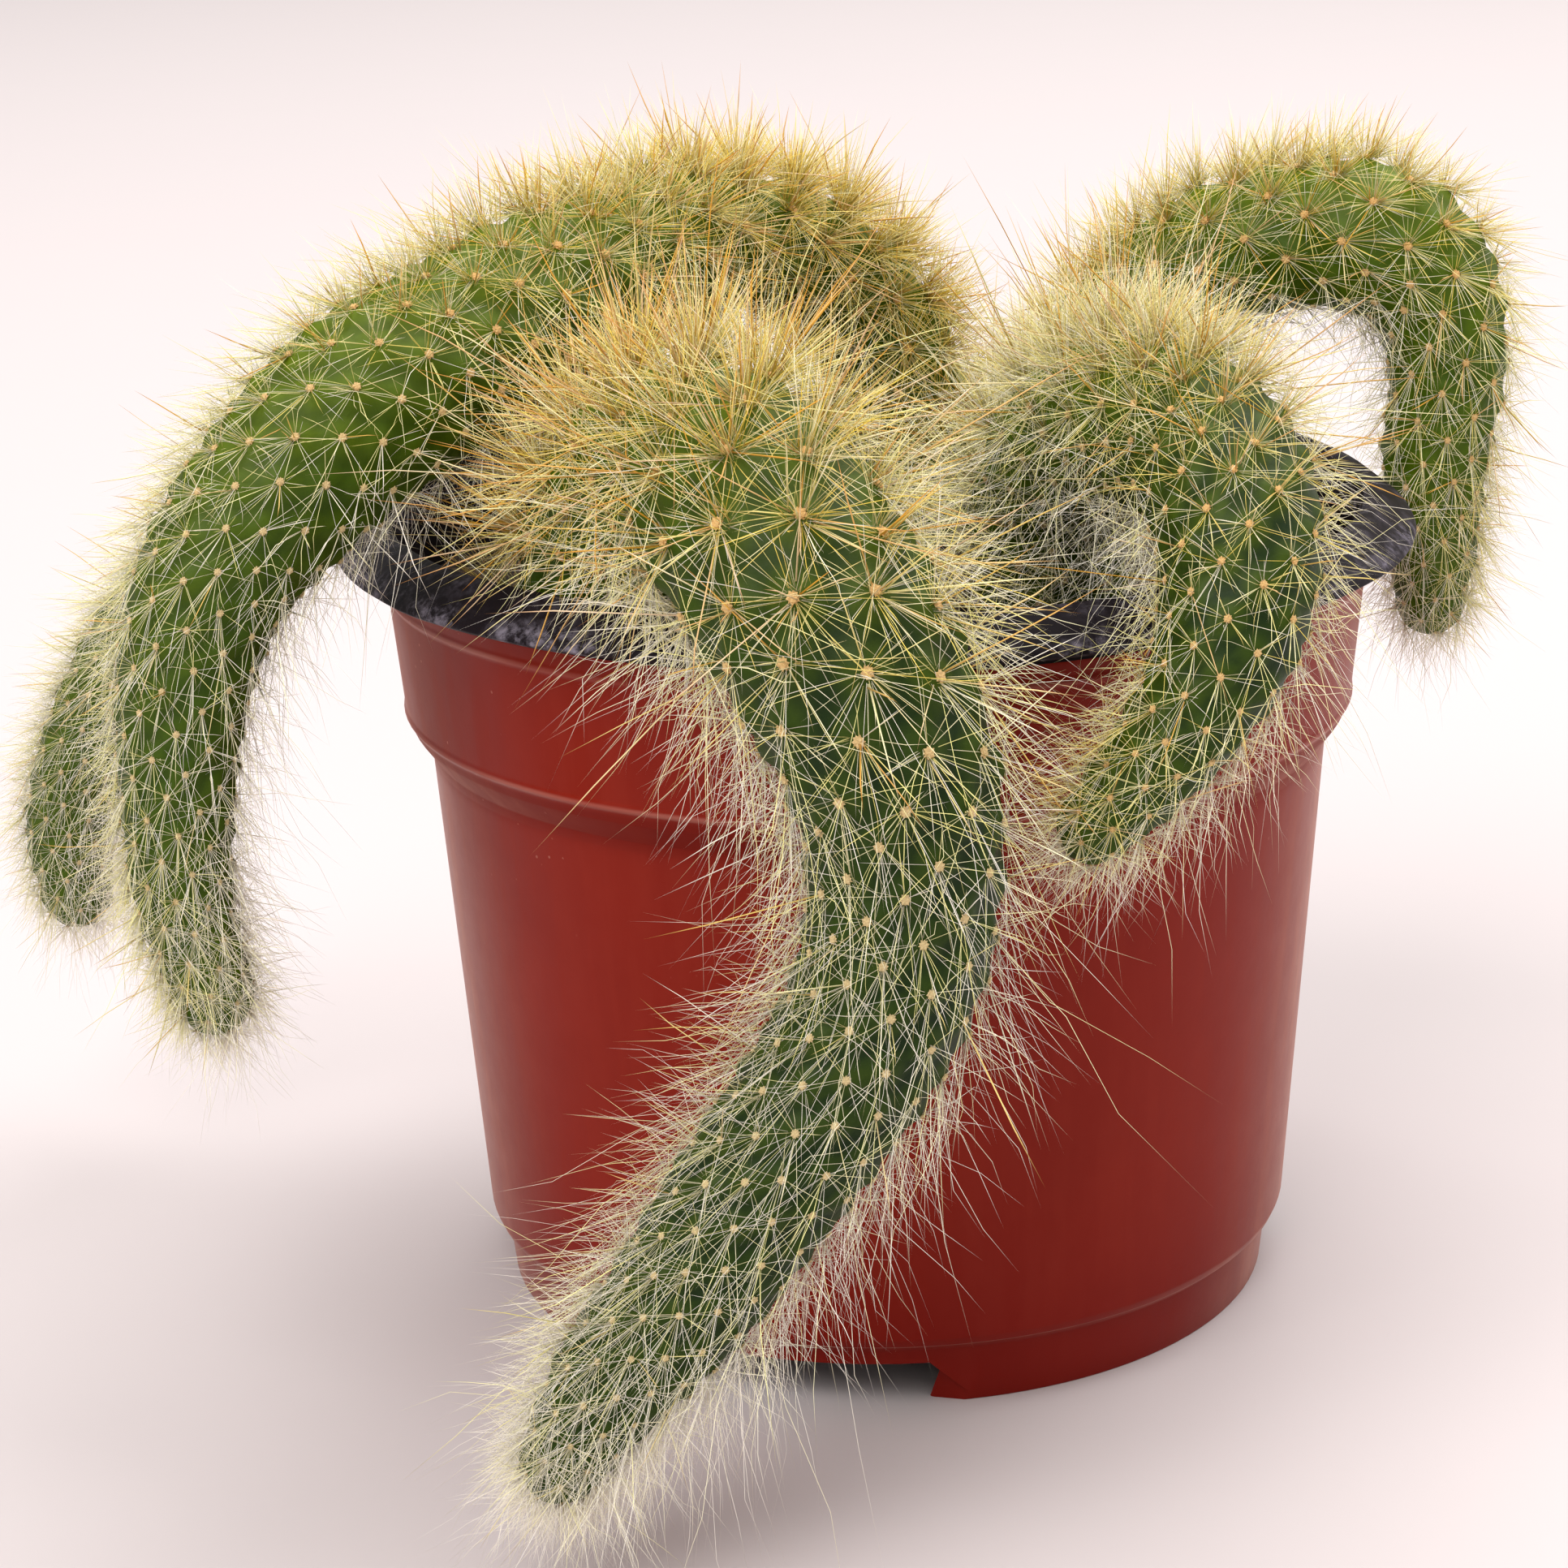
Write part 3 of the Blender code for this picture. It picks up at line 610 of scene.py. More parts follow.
def pot_inside_finish(settings):
    """Black plastic, grey with scuffs along the lip."""
    finish = Finish("pot_inside")
    height = finish.part(finish.place(), "Z")
    scuffed = finish.noise(1.3 * MM, detail=6, roughness=0.7)
    patches = finish.noise(7 * MM, detail=4, roughness=0.6)
    edge = height.ramp(*EDGE_LOW) * (1 - height.ramp(*EDGE_HIGH))
    top = height.ramp(*TOP)
    marks = (scuffed - 0.4).ramp(0.0, 0.3) * (patches - 0.36).ramp(0.0, 0.24)
    marks = marks * (edge * 0.85 + top * 0.25)
    pale_share = finish.noise(5 * MM, detail=4) * 0.3
    black = finish.mix(pale_share, settings.inside, paint(50, 40, 40))
    finish.set(base_color=finish.mix(marks.clamp(), black, settings.scuff),
               roughness=marks * 0.3 + 0.56, ior=1.2)
    finish.bump(scuffed, 0.05 * MM, 0.5)
    return finish.material


class CACTUS_OT_pot(bpy.types.Operator):
    """Make the moulded pot with its lip, band, foot notches and drain holes"""
    bl_idname = "cactus.pot"
    bl_label = "Pot"

    def execute(self, context):
        settings = context.scene.cactus_pot
        outline = POT_OUTSIDE + POT_LIP + POT_INSIDE + POT_FLOOR
        shell = spin_outline(outline, settings.segments, POT_ROUNDING)
        mesh = cut(to_mesh(shell, "pot"), pot_cutters())
        bm = bmesh.new()
        bm.from_mesh(mesh)
        bmesh.ops.remove_doubles(bm, verts=bm.verts, dist=0.002 * MM)
        for face in bm.faces:
            face.material_index = 0 if is_outside(face.calc_center_median(), face.normal) else 1
        for vert in bm.verts:
            radius = math.hypot(vert.co.x, vert.co.y)
            share = min(1.0, max(0.0, (radius - WAVE_START) / WAVE_REACH))
            wave = noise.noise(Vector((vert.co.x, vert.co.y, 0.0)) / WAVE_SIZE)
            vert.co.z += settings.lip_wave * share * wave
        bmesh.ops.translate(bm, verts=bm.verts, vec=POT_AXIS)
        add_piece("moulded_pot", to_mesh(bm, "moulded_pot", 32),
                  [pot_outside_finish(settings), pot_inside_finish(settings)], "pot")
        return {"FINISHED"}


def soil_finish(settings):
    """Dark crumbly potting soil."""
    finish = Finish("potting_soil")
    lumps = finish.noise(3 * MM, detail=6, roughness=0.7)
    grains = finish.noise(0.7 * MM)
    light = ((lumps + grains) * 0.5 - 0.42).ramp(0.0, 0.2) * 0.6
    finish.set(base_color=finish.mix(light, settings.dark, settings.light), roughness=0.95)
    finish.bump(lumps * 0.6 + grains * 0.4, 0.6 * MM)
    return finish.material


def soil_height(x, y):
    """The soil's height at a place, measured from the pot's axis."""
    height = SOIL_LEVEL
    for rise, size in SOIL_BUMPS:
        height += rise * noise.noise(Vector((x, y, 0.0)) / size)
    return height


class CACTUS_OT_soil(bpy.types.Operator):
    """Make the soil and its loose crumbs"""
    bl_idname = "cactus.soil"
    bl_label = "Soil"

    def execute(self, context):
        settings = context.scene.cactus_soil
        radius, height = SOIL_SIDE[0]
        top = tuple((radius * ring / SOIL_RINGS, height) for ring in range(SOIL_RINGS))
        bm = spin_outline(top + SOIL_SIDE, SOIL_SEGMENTS)
        for vert in bm.verts:
            if vert.co.z > SOIL_LEVEL - 0.1 * MM:
                vert.co.z = soil_height(vert.co.x, vert.co.y)
        bmesh.ops.translate(bm, verts=bm.verts, vec=POT_AXIS)
        finish = soil_finish(settings)
        add_piece("potting_soil", to_mesh(bm, "potting_soil", 60), [finish], "soil")

        bm = bmesh.new()
        bmesh.ops.create_icosphere(bm, subdivisions=1, radius=1.0)
        crumb = to_mesh(bm, "crumb", 80)
        draw = np.random.default_rng(settings.seed)
        distance = CRUMB_CIRCLE * np.sqrt(draw.random(settings.crumbs))
        angle = draw.random(settings.crumbs) * math.tau
        size = settings.crumb_size * draw.lognormal(0.0, 0.35, settings.crumbs)
        turns = [unit(draw.normal(size=(settings.crumbs, 3))) for _ in range(2)]
        turns[1] = unit(np.cross(turns[0], turns[1]))
        axes = np.stack([turns[0], turns[1] * 0.8, np.cross(*turns) * 0.65], axis=1)
        centres = np.stack([distance * np.cos(angle), distance * np.sin(angle), 0 * angle], 1)
        centres[:, 2] = [soil_height(x, y) for x, y, _ in centres]
        centres[:, 2] += size * 0.25
        mesh = repeat(crumb, settings.crumbs)
        local = get_points(crumb) * (1 + 0.25 * draw.normal(size=(settings.crumbs, 12, 1)))
        points = np.einsum("nvk,nkj->nvj", local, axes) * size[:, None, None] + centres[:, None]
        mesh.vertices.foreach_set("co", (points + np.array(POT_AXIS)).ravel())
        add_piece("soil_crumbs", mesh, [finish])
        return {"FINISHED"}


class Stem:
    """A stem's centre line, thickness and coat, and the directions of its surface."""

    def __init__(self, name):
        self.name = name
        self.coat = np.array(STEM_COATS[name], dtype=float)
        rows = self.with_tip(self.smooth_line(STEM_LINES[name])) * MM
        rows[:, :3] += np.array(POT_AXIS)
        forward = np.gradient(rows[:, :3], axis=0)
        forward[-1] = forward[-2]
        pace = np.linalg.norm(forward, axis=1)
        slope = np.arctan2(-np.gradient(rows[:, 3]), pace)
        forward = unit(forward)
        side = np.array([1.0, 0.0, 0.0])
        sides = []
        for direction in forward:
            side = unit(side - direction * side.dot(direction))
            sides.append(side)
        self.rows = np.column_stack([rows, slope, forward, np.array(sides)])
        steps = np.hypot(*np.split(np.column_stack([
            np.linalg.norm(np.diff(rows[:, :3], axis=0), axis=1), np.diff(rows[:, 3])]), 2, 1))
        self.along = np.concatenate([[0.0], np.cumsum(steps)])
        above = rows[:, 2] > SOIL_LEVEL + 0.5 * MM
        self.start = self.along[np.argmax(above)]
        self.end = self.along[-1]

    @staticmethod
    def smooth_line(points, per_span=16):
        """A smooth curve through the points, from the bottom of the stem's hole to its end."""
        x, y, _, radius = points[0]
        rows = [(x, y, STEM_FOOT, radius * FOOT_GIRTH),
                (x, y, (STEM_FOOT + STEM_NECK) / 2, radius * MIDDLE_GIRTH)]
        rows = np.array(rows + list(points), dtype=float)
        rows = np.vstack([2 * rows[0] - rows[1], rows, 2 * rows[-1] - rows[-2]])
        curve = []
        for before, start, end, after in zip(rows, rows[1:], rows[2:], rows[3:]):
            for t in np.arange(per_span) / per_span:
                curve.append(0.5 * (2 * start + (end - before) * t
                                    + (2 * before - 5 * start + 4 * end - after) * t ** 2
                                    + (3 * start - before - 3 * end + after) * t ** 3))
        return np.array(curve + [rows[-2]])

    @staticmethod
    def with_tip(curve, steps=14):
        """The curve with a rounded tip at its end."""
        heading = unit(curve[-1, :3] - curve[-3, :3])
        angles = np.linspace(0, math.pi / 2, steps + 1)[1:, None]
        centres = curve[-1, :3] + heading * np.sin(angles) * STEM_TIP_LENGTH * curve[-1, 3]
        return np.vstack([curve, np.hstack([centres, np.cos(angles) * curve[-1, 3]])])

    def fraction(self, along):
        """How far up the stem a place is, from 0 at the soil to 1 at the tip."""
        return np.clip((along - self.start) / (self.end - self.start), 0, 1)

    def look(self, column, along):
        """What the coat's table says in one column at places along the stem."""
        values = self.coat[:, COAT_COLUMNS.index(column)]
        return np.interp(self.fraction(along), self.coat[:, 0], values)

    def surface(self, along, angle):
        """Points on the surface, with the directions outwards and towards the tip."""
        row = np.column_stack([np.interp(along, self.along, column) for column in self.rows.T])
        centre, radius, slope = row[:, :3], row[:, 3:4], row[:, 4:5]
        forward, side = unit(row[:, 5:8]), unit(row[:, 8:11])
        angle = np.reshape(angle, (-1, 1))
        outward = np.cos(angle) * side + np.sin(angle) * np.cross(forward, side)
        normal = outward * np.cos(slope) + forward * np.sin(slope)
        tipward = forward * np.cos(slope) - outward * np.sin(slope)
        return centre + outward * radius, normal, tipward

    def areoles(self, seed):
        """The areoles' places: a spiral with the golden angle, each with its share of skin."""
        draw = np.random.default_rng([seed, len(self.name)])
        fine = np.linspace(self.start, self.end, SPIRAL_PLACES)
        radius = np.interp(fine, self.along, self.rows[:, 3])
        density = math.tau * radius / (self.look("cell", fine) * MM ** 2)
        total = np.concatenate([[0.0], np.cumsum((density[1:] + density[:-1]) / 2 * np.diff(fine))])
        numbers = np.arange(0.5, total[-1])
        along = np.interp(numbers, total, fine)
        spread = np.sqrt(self.look("cell", along)) * MM
        angle = numbers * GOLDEN_ANGLE
        girth = np.interp(along, self.along, self.rows[:, 3])
        angle = angle + draw.normal(size=len(along)) * AREOLE_STRAY * spread / np.maximum(girth, MM)
        along = along + draw.normal(size=len(along)) * AREOLE_STRAY * spread
        along = np.clip(along, self.start, self.end)
        return Areoles(self, along, angle)


class Areoles:
    """The areoles of one stem, with their places, directions, share of skin and gold."""

    def __init__(self, stem, along, angle):
        self.stem = stem
        self.along = along
        self.point, self.normal, self.tipward = stem.surface(along, angle)
        self.across = np.cross(self.normal, self.tipward)
        self.pitch = np.sqrt(stem.look("cell", along)) * MM
        self.girth = np.clip(self.pitch / WIDE_PITCH, 0.45, 1.0)
        at_root, at_tip = np.array(STEM_LIGHT_SIDES[stem.name])
        share = stem.fraction(along)[:, None]
        self.lit = np.sum(self.normal * unit(at_root * (1 - share) + at_tip * share), axis=1)
        self.gold = stem.look("gold", along) * (1 + 0.4 * self.lit)
        near_tip = np.clip((stem.end - along) / FADING_TIP, 0.3, 1.0)
        self.swell = np.clip(self.pitch / WIDE_PITCH, 0, 1) ** 1.6 * near_tip

    def __len__(self):
        return len(self.along)


def all_stems(context):
    """Every stem of the plant in turn, with its areoles."""
    for name in STEM_LINES:
        stem = Stem(name)
        yield stem, stem.areoles(context.scene.cactus_skin.seed)


def tubercle_relief(points, areoles, height):
    """How far each skin point rises or sinks, and how deep in a valley it lies."""
    tree = kdtree.KDTree(len(areoles))
    for number, point in enumerate(areoles.point):
        tree.insert(point, number)
    tree.balance()
    rise = np.zeros(len(points))
    valley = np.zeros(len(points))
    for number, point in enumerate(points):
        found = tree.find_n(point, 5)
        nearest = found[0][1]
        pitch = areoles.pitch[nearest]
        mounds = [math.exp(-(distance / (0.4 * pitch)) ** 2) for _, _, distance in found]
        mound = max(mounds) * 0.75 + sum(mounds) * 0.25
        rise[number] = height * areoles.swell[nearest] * (mound - 0.55)
        valley[number] = 1 - min(mound / 0.45, 1.0)
    return rise, valley


def skin_finish(name, settings):
    """Green skin, painted lighter where it faces up and with painted shade in its valleys."""
    finish = Finish(name)
    blotches = finish.noise(5 * MM, detail=4)
    grain = finish.noise(0.5 * MM, detail=2)
    # Painted light: skin that faces up is lighter, with random blotches on top.
    painted_sun_and_blotches = (finish.value("sun") * 0.6 + blotches * 0.5 - 0.15).clamp()
    # Painted shade darkens the valleys between tubercles; the coat's shade column darkens whole
    # stretches.
    shade = (finish.value("valley") * 0.4 + finish.value("shade") * 0.7).clamp()
    green = finish.mix(painted_sun_and_blotches, settings.green, settings.light)
    green = finish.mix(shade, green, settings.dark)
    finish.set(base_color=green, roughness=grain * 0.15 + 0.45, ior=1.28)
    finish.bump(grain, 0.06 * MM, 0.6)
    return finish.material


class CACTUS_OT_skin(bpy.types.Operator):
    """Make the stems' bodies with their spiral rows of low tubercles"""
    bl_idname = "cactus.skin"
    bl_label = "Stem Skin"

    def execute(self, context):
        settings = context.scene.cactus_skin
        for stem, areoles in all_stems(context):
            columns = round(math.tau * stem.rows[:, 3].max() / settings.step / 0.95)
            rows = round(stem.end / settings.step)
            bm = bmesh.new()
            bmesh.ops.create_grid(bm, x_segments=columns, y_segments=rows, size=0.5)
            flat = np.array([vert.co for vert in bm.verts])
            share = flat[:, 1] + 0.5
            along = stem.end * share * (1.45 - 0.45 * share)
            skin, normal, _ = stem.surface(along, flat[:, 0] * math.tau)
            rise, valley = tubercle_relief(skin, areoles, settings.tubercle)
            for vert, point in zip(bm.verts, skin + normal * rise[:, None]):
                vert.co = Vector(point)
            # How deep each point lies in a valley, how much it faces up and the coat's shade: they
            # steer the painted light and shade of the skin's finish.
            layers = {key: bm.verts.layers.float.new(key) for key in ("valley", "sun", "shade")}
            shade = stem.look("shade", along)
            for vert, deep, sun, dark in zip(bm.verts, valley, normal[:, 2], shade):
                vert[layers["valley"]] = deep
                vert[layers["sun"]] = max(sun, 0.0)
                vert[layers["shade"]] = dark
            bmesh.ops.remove_doubles(bm, verts=bm.verts, dist=0.02 * MM)
            bmesh.ops.holes_fill(bm, edges=[edge for edge in bm.edges if edge.is_boundary], sides=0)
            bmesh.ops.recalc_face_normals(bm, faces=bm.faces)
            name = stem.name + "_skin"
            add_piece(name, to_mesh(bm, name, 75),
                      [skin_finish(name, settings)], stem.name)
        return {"FINISHED"}


def felt_finish(settings):
    """Felt, beige where the spines are white and tan where they are golden."""
    finish = Finish("areole_felt")
    fibres = finish.noise(0.25 * MM)
    tan = finish.mix(finish.value("gold").ramp(0.2, 0.6), settings.felt_pale, settings.felt)
    tan = finish.mix(fibres * 0.5, tan, paint(236, 210, 160))
    finish.set(base_color=tan, roughness=0.95)
    finish.bump(fibres, 0.15 * MM)
    return finish.material


class CACTUS_OT_felt(bpy.types.Operator):
    """Make the felt pads that the spines grow from"""
    bl_idname = "cactus.felt"
    bl_label = "Felt Pads"

    def execute(self, context):
        settings = context.scene.cactus_skin
        bm = bmesh.new()
        bmesh.ops.create_icosphere(bm, subdivisions=1, radius=0.8)
        bmesh.ops.poke(bm, faces=bm.faces, offset=0.5)
        pad = to_mesh(bm, "pad", 20)
        finish = felt_finish(settings)
        for stem, areoles in all_stems(context):
            size = settings.pad_radius * areoles.girth
            lift = settings.tubercle * areoles.swell * 0.4
            axes = np.stack([areoles.tipward * 1.1, areoles.across, areoles.normal * 0.55], axis=1)
            centres = areoles.point + areoles.normal * lift[:, None]
            local = np.einsum("vk,nkj->nvj", get_points(pad), axes)
            mesh = repeat(pad, len(areoles))
            mesh.vertices.foreach_set(
                "co", (local * size[:, None, None] + centres[:, None]).ravel())
            set_numbers(mesh, "gold", np.repeat(areoles.gold, len(local[0])))
            add_piece(stem.name + "_felt", mesh, [finish])
        return {"FINISHED"}


# How a kind of needle grows: the coat's columns for its number and its length, the last number
# of its seed, how much the lengths vary, its tilt away from the skin's normal and the tilt's
# scatter in degrees, how far it droops, wanders and kinks in shares of its length, how light
# changes the number and the tilt, how much more golden than its areole it is, and where along
# its length it can bend.
Growth = namedtuple("Growth", "kind length seed spread tilt tilt_spread droop wander kink "
                              "light_count light_tilt gold cuts")
RADIALS = Growth("radials", "radial_mm", seed=7, spread=0.26, tilt=64, tilt_spread=17,
                 droop=0.02, wander=0.07, kink=0.0, light_count=1.7, light_tilt=0.3,
                 gold=-0.04, cuts=(0.65,))
CENTRALS = Growth("centrals", "central_mm", seed=8, spread=0.3, tilt=38, tilt_spread=22,
                  droop=0.02, wander=0.05, kink=0.0, light_count=1.7, light_tilt=0.2,
                  gold=0.15, cuts=(0.65,))
HAIRS = Growth("hairs", "hair_mm", seed=99, spread=0.38, tilt=60, tilt_spread=18,
               droop=0.16, wander=0.16, kink=0.03, light_count=-2.6, light_tilt=0.0,
               gold=0.0, cuts=(0.35, 0.7))
Needles = namedtuple("Needles", "root aim length bend kink thick gold pale")


def needle_shape(cuts):
    """A three-sided needle, 1 long and 1 in radius, with rings at the cuts so it can bend."""
    bm = bmesh.new()
    bmesh.ops.create_cone(bm, cap_ends=True, segments=3, radius1=1.0, radius2=0.0, depth=1.0,
                          matrix=Matrix.Translation((0, 0, 0.5)))
    bmesh.ops.remove_doubles(bm, verts=bm.verts, dist=1e-5)
    for height in cuts:
        bmesh.ops.bisect_plane(bm, geom=bm.verts[:] + bm.edges[:] + bm.faces[:],
                               plane_co=(0, 0, height), plane_no=(0, 0, 1))
        for vert in bm.verts:
            if abs(vert.co.z - height) < 1e-5:
                fuller = (1 - height ** 4) / math.hypot(vert.co.x, vert.co.y)
                vert.co.x *= fuller
                vert.co.y *= fuller
    bmesh.ops.triangulate(bm, faces=bm.faces)
    bmesh.ops.recalc_face_normals(bm, faces=bm.faces)
    return to_mesh(bm, "needle", 100)


def is_free(points):
    """True for points in the air: above the floor, in the box and outside the pot and soil."""
    low, high = np.array(CAD_BOX[0]) - ROOM, np.array(CAD_BOX[1]) + ROOM
    low[2] = FLOOR_GAP
    inside_box = np.all((points > low) & (points < high), axis=-1)
    x, y, z = np.moveaxis(points - np.array(POT_AXIS), -1, 0)
    radius = np.hypot(x, y)
    outer = outline_radius(POT_OUTSIDE, z) + WALL_GAP
    inner = outline_radius(POT_INSIDE[::-1], z) - WALL_GAP
    in_soil = (z < SOIL_LEVEL) & (radius < outer)
    in_wall = (z < WALL_TOP) & (radius > inner) & (radius < outer)
    lip_top = np.interp(radius / MM, *LIP_TOP) * MM
    in_lip = (radius > LIP_INNER) & (radius < LIP_OUTER) & (z < lip_top) & (z > LIP_BOTTOM)
    return inside_box & ~in_soil & ~in_wall & ~in_lip


def grow(areoles, growth, draw):
    """Every needle of one kind on a stem: roots, directions, lengths, bends and gold."""
    stem = areoles.stem
    lit = np.clip(areoles.lit, -0.6, 1)
    amount = stem.look(growth.kind, areoles.along)
    amount = amount * np.exp(growth.light_count * lit)
    counts = np.floor(amount + draw.random(len(areoles))).astype(int)
    owner = np.repeat(np.arange(len(areoles)), counts)
    total = len(owner)
    order = np.arange(total) - np.repeat(np.cumsum(counts) - counts, counts)
    turn = math.tau * (order + 1.4 * draw.random(total)) / counts[owner]
    turn += draw.random(len(areoles))[owner] * math.tau
    sweep = stem.look("sweep", areoles.along)[owner]
    turn -= sweep * np.sin(turn)
    tilt = math.radians(growth.tilt) * (1 - growth.light_tilt * np.maximum(lit, 0))[owner]
    scatter = math.radians(growth.tilt_spread) * (1 + 0.6 * np.maximum(lit, 0))[owner]
    tilt = np.clip(tilt + scatter * draw.normal(size=total), 0.03, 1.5)
    flat = np.cos(turn)[:, None] * areoles.tipward[owner]
    flat += np.sin(turn)[:, None] * areoles.across[owner]
    aim = np.cos(tilt)[:, None] * areoles.normal[owner] + np.sin(tilt)[:, None] * flat
    length = stem.look(growth.length, areoles.along)[owner] * MM
    length *= (1 + 0.5 * sweep * np.cos(turn)) * (1 - 0.2 * np.maximum(lit, 0))[owner]
    length *= np.minimum(draw.lognormal(-0.04, growth.spread, total), 1.7)
    girth = areoles.girth[owner]
    root = areoles.point[owner] + areoles.normal[owner] * (ROOT_LIFT * girth[:, None])
    spread = 0.55 + 0.9 * np.maximum(lit, 0)[owner]
    root += flat * ((0.15 + spread * draw.random(total)) * MM * girth)[:, None]
    bend = draw.normal(size=(total, 3)) * growth.wander
    bend[:, 2] -= growth.droop * draw.uniform(0.3, 1.7, total)
    steps = np.linspace(1 / PATH_STEPS, 1.0, PATH_STEPS)[:, None, None]
    path = root + (aim * steps + bend * steps ** 2) * length[:, None]
    reach = np.cumprod(is_free(path), axis=0).sum(axis=0) / PATH_STEPS
    keep = reach >= SHORTEST
    gold = areoles.gold[owner] + growth.gold
    gold = gold + np.clip(0.12 + 0.7 * gold, 0.1, 0.5) * draw.uniform(-1, 1, total)
    gold = np.clip(gold, 0, 1)
    thick = np.sqrt(girth) * (0.7 + 0.3 * gold) * draw.lognormal(0.0, 0.15, total)
    pale = np.clip(0.55 * draw.random(total) ** 2 - 0.8 * np.minimum(lit[owner], 0), 0, 1)
    kink = draw.normal(size=(total, 3)) * growth.kink
    return Needles(root[keep], aim[keep], (length * reach)[keep], (bend * reach[:, None])[keep],
                   kink[keep], thick[keep], gold[keep], pale[keep])


def needle_mesh(shape, needles, radius, draw):
    """One mesh of a needle shape bent along every needle's path."""
    side = unit(np.cross(needles.aim, draw.normal(size=needles.aim.shape)))
    across = np.cross(needles.aim, side)
    local = get_points(shape)
    share = local[None, :, 2:3]
    thick = radius * needles.thick[:, None, None]
    path = (needles.aim[:, None] * share + needles.bend[:, None] * share ** 2
            + needles.kink[:, None] * np.sin(math.tau * share))
    points = needles.root[:, None] + path * needles.length[:, None, None]
    points += (side[:, None] * local[None, :, :1] + across[:, None] * local[None, :, 1:2]) * thick
    mesh = repeat(shape, len(needles.length))
    mesh.vertices.foreach_set("co", points.astype(np.float32).ravel())
    set_numbers(mesh, "gold", np.repeat(needles.gold, len(local)))
    set_numbers(mesh, "pale", np.repeat(needles.pale, len(local)))
    set_numbers(mesh, "reach", np.tile(local[:, 2], len(needles.length)))
    mesh.update()
    return mesh


def spine_finish(name, settings, rich, brown):
    """Spines from white over cream to a rich colour, with darker points on the golden ones."""
    finish = Finish(name)
    gold = finish.value("gold")
    colour = finish.mix(gold.ramp(0.0, 0.5), settings.white, settings.cream)
    colour = finish.mix(gold.ramp(0.4, 1.0), colour, rich)
    colour = finish.mix(finish.value("pale"), colour, settings.white)
    tip = finish.value("reach").ramp(0.45, 1.0) * gold * brown
    finish.set(base_color=finish.mix(tip.clamp(), colour, settings.brown), roughness=0.5, ior=1.33)
    return finish.material


def add_needles(context, growth, radius, finish):
    """Add one kind of needle to every stem, as a piece of its own."""
    shape = needle_shape(growth.cuts)
    for number, (stem, areoles) in enumerate(all_stems(context)):
        draw = np.random.default_rng([context.scene.cactus_spines.seed, number, growth.seed])
        mesh = needle_mesh(shape, grow(areoles, growth, draw), radius, draw)
        add_piece(f"{stem.name}_{growth.kind}", mesh, [finish])


class CACTUS_OT_spines(bpy.types.Operator):
    """Make the radial and central spines"""
    bl_idname = "cactus.spines"
    bl_label = "Spines"

    def execute(self, context):
        settings = context.scene.cactus_spines
        gold = spine_finish("radial_spines", settings, settings.gold, 0.25)
        amber = spine_finish("central_spines", settings, settings.amber, 0.8)
        add_needles(context, RADIALS, settings.radial_radius, gold)
        add_needles(context, CENTRALS, settings.central_radius, amber)
        return {"FINISHED"}


class CACTUS_OT_hairs(bpy.types.Operator):
    """Make the fine white hairs"""
    bl_idname = "cactus.hairs"
    bl_label = "Hairs"

    def execute(self, context):
        settings = context.scene.cactus_spines
        finish = spine_finish("white_hairs", settings, settings.cream, 0.0)
        add_needles(context, HAIRS, settings.hair_radius, finish)
        return {"FINISHED"}


def add_lamp(name, power, size, place, height):
    """A square white lamp at a place, turned to a height above the middle."""
    lamp = bpy.data.lights.new(name, "AREA")
    lamp.energy = power
    lamp.size = size
    holder = add_object(name, lamp)
    holder.location = place
    aim = Vector((0, 0, height)) - Vector(place)
    holder.rotation_euler = aim.to_track_quat("-Z", "Y").to_euler()


def add_camera():
    """The camera at the photograph's place, tilt and lens."""
    camera = bpy.data.cameras.new("camera")
    camera.lens = CAMERA_LENS
    camera.sensor_width = CAMERA_SENSOR
    camera.clip_start = 0.01
    holder = add_object("camera", camera)
    back = Vector((0.0, -math.cos(CAMERA_ELEVATION), math.sin(CAMERA_ELEVATION)))
    place = POT_AXIS + CAMERA_AIM + back * CAMERA_DISTANCE
    holder.matrix_world = (Matrix.Translation(place)
                           @ Matrix.Rotation(math.pi / 2 - CAMERA_ELEVATION, 4, "X")
                           @ Matrix.Rotation(CAMERA_ROLL, 4, "Z"))
    bpy.context.scene.camera = holder


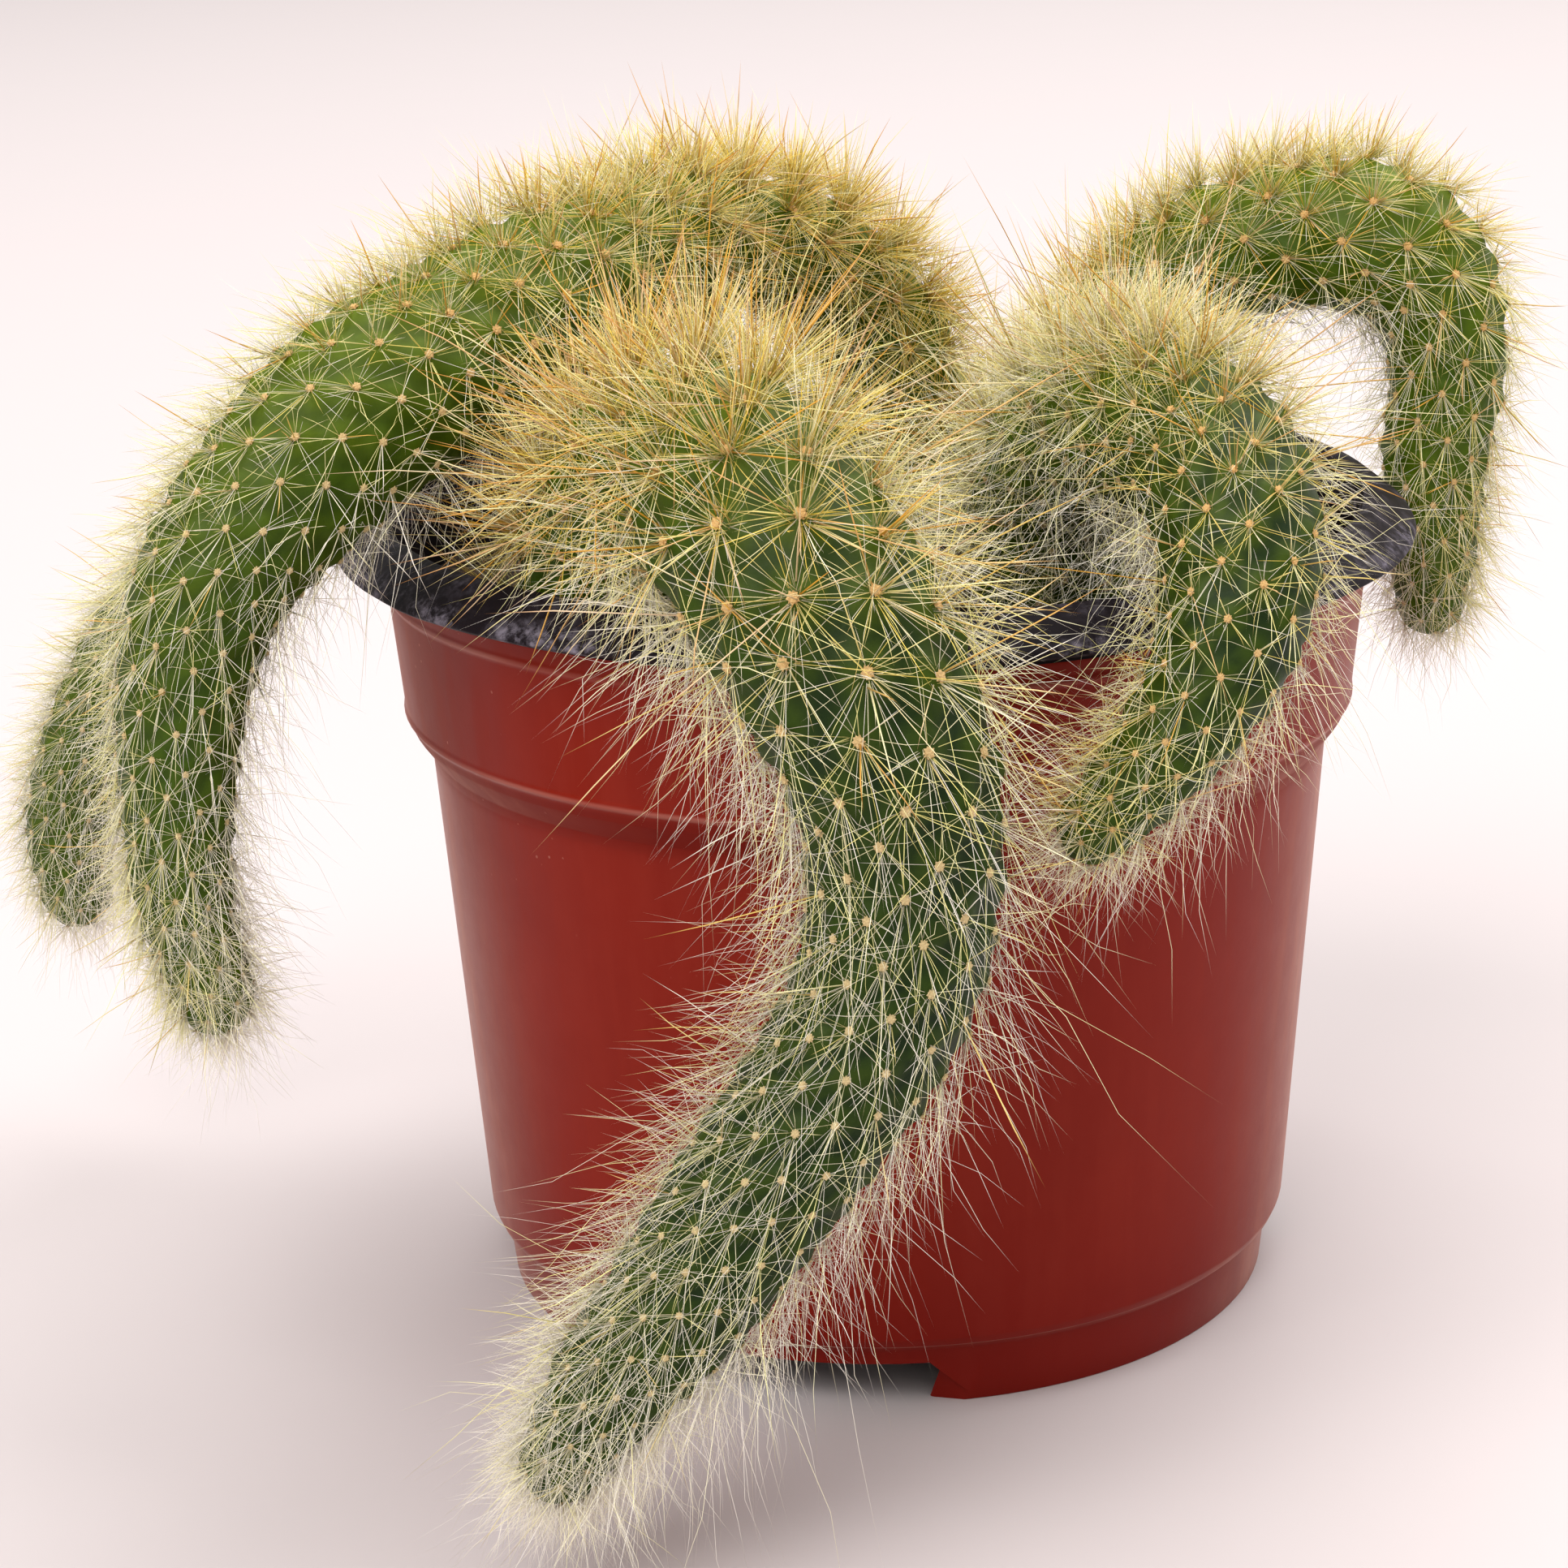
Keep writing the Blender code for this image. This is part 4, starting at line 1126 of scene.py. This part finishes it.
class CACTUS_OT_studio(bpy.types.Operator):
    """Make the pale floor, the soft lights and the camera"""
    bl_idname = "cactus.studio"
    bl_label = "Studio"

    def execute(self, context):
        settings = context.scene.cactus_studio
        bm = bmesh.new()
        bmesh.ops.create_grid(bm, x_segments=1, y_segments=1, size=settings.floor_size / 2)
        finish = Finish("pale_floor")
        grain = finish.noise(40 * MM)
        pale = finish.mix(grain * 0.06, settings.floor, paint(211, 201, 200))
        floor = add_object("floor", to_mesh(bm, "floor"))
        floor.data.materials.append(finish.set(base_color=pale, roughness=0.7))
        floor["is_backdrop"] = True

        world = bpy.data.worlds.new("studio")
        world.use_nodes = True
        background = world.node_tree.nodes["Background"].inputs
        background["Color"].default_value = SKY_COLOUR
        background["Strength"].default_value = settings.sky
        context.scene.world = world
        for name, lamp in LAMPS.items():
            add_lamp(name, getattr(settings, name), *lamp)
        add_camera()
        context.scene.view_settings.view_transform = "Standard"
        return {"FINISHED"}


OPERATORS = (CACTUS_OT_pot, CACTUS_OT_soil, CACTUS_OT_skin, CACTUS_OT_felt, CACTUS_OT_spines,
             CACTUS_OT_hairs, CACTUS_OT_studio)
SETTINGS = {
    "cactus_pot": PotSettings, "cactus_soil": SoilSettings, "cactus_skin": SkinSettings,
    "cactus_spines": SpineSettings, "cactus_studio": StudioSettings}


class CACTUS_PT_panel(bpy.types.Panel):
    """The cactus's pieces, with their settings"""
    bl_label = "Potted Cactus"
    bl_space_type = "VIEW_3D"
    bl_region_type = "UI"
    bl_category = "Cactus"

    def draw(self, context):
        for name, group in SETTINGS.items():
            box = self.layout.box()
            for setting in group.__annotations__:
                box.prop(getattr(context.scene, name), setting)
        for operator in OPERATORS:
            self.layout.operator(operator.bl_idname)


def register():
    """Add the settings, the operators and the panel."""
    for item in (*SETTINGS.values(), *OPERATORS, CACTUS_PT_panel):
        bpy.utils.register_class(item)
    for name, group in SETTINGS.items():
        setattr(bpy.types.Scene, name, PointerProperty(type=group))


def unregister():
    """Remove the settings, the operators and the panel."""
    for name in SETTINGS:
        delattr(bpy.types.Scene, name)
    for item in (CACTUS_PT_panel, *reversed(OPERATORS), *reversed(SETTINGS.values())):
        bpy.utils.unregister_class(item)


def main():
    """Make every piece in turn."""
    register()
    for operator in OPERATORS:
        group, name = operator.bl_idname.split(".")
        getattr(getattr(bpy.ops, group), name)()
    boxes = {"cad": CAD_BOX, "visual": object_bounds()}
    {key: [list(corner) for corner in box] for key, box in boxes.items()}


if __name__ == "__main__":
    main()
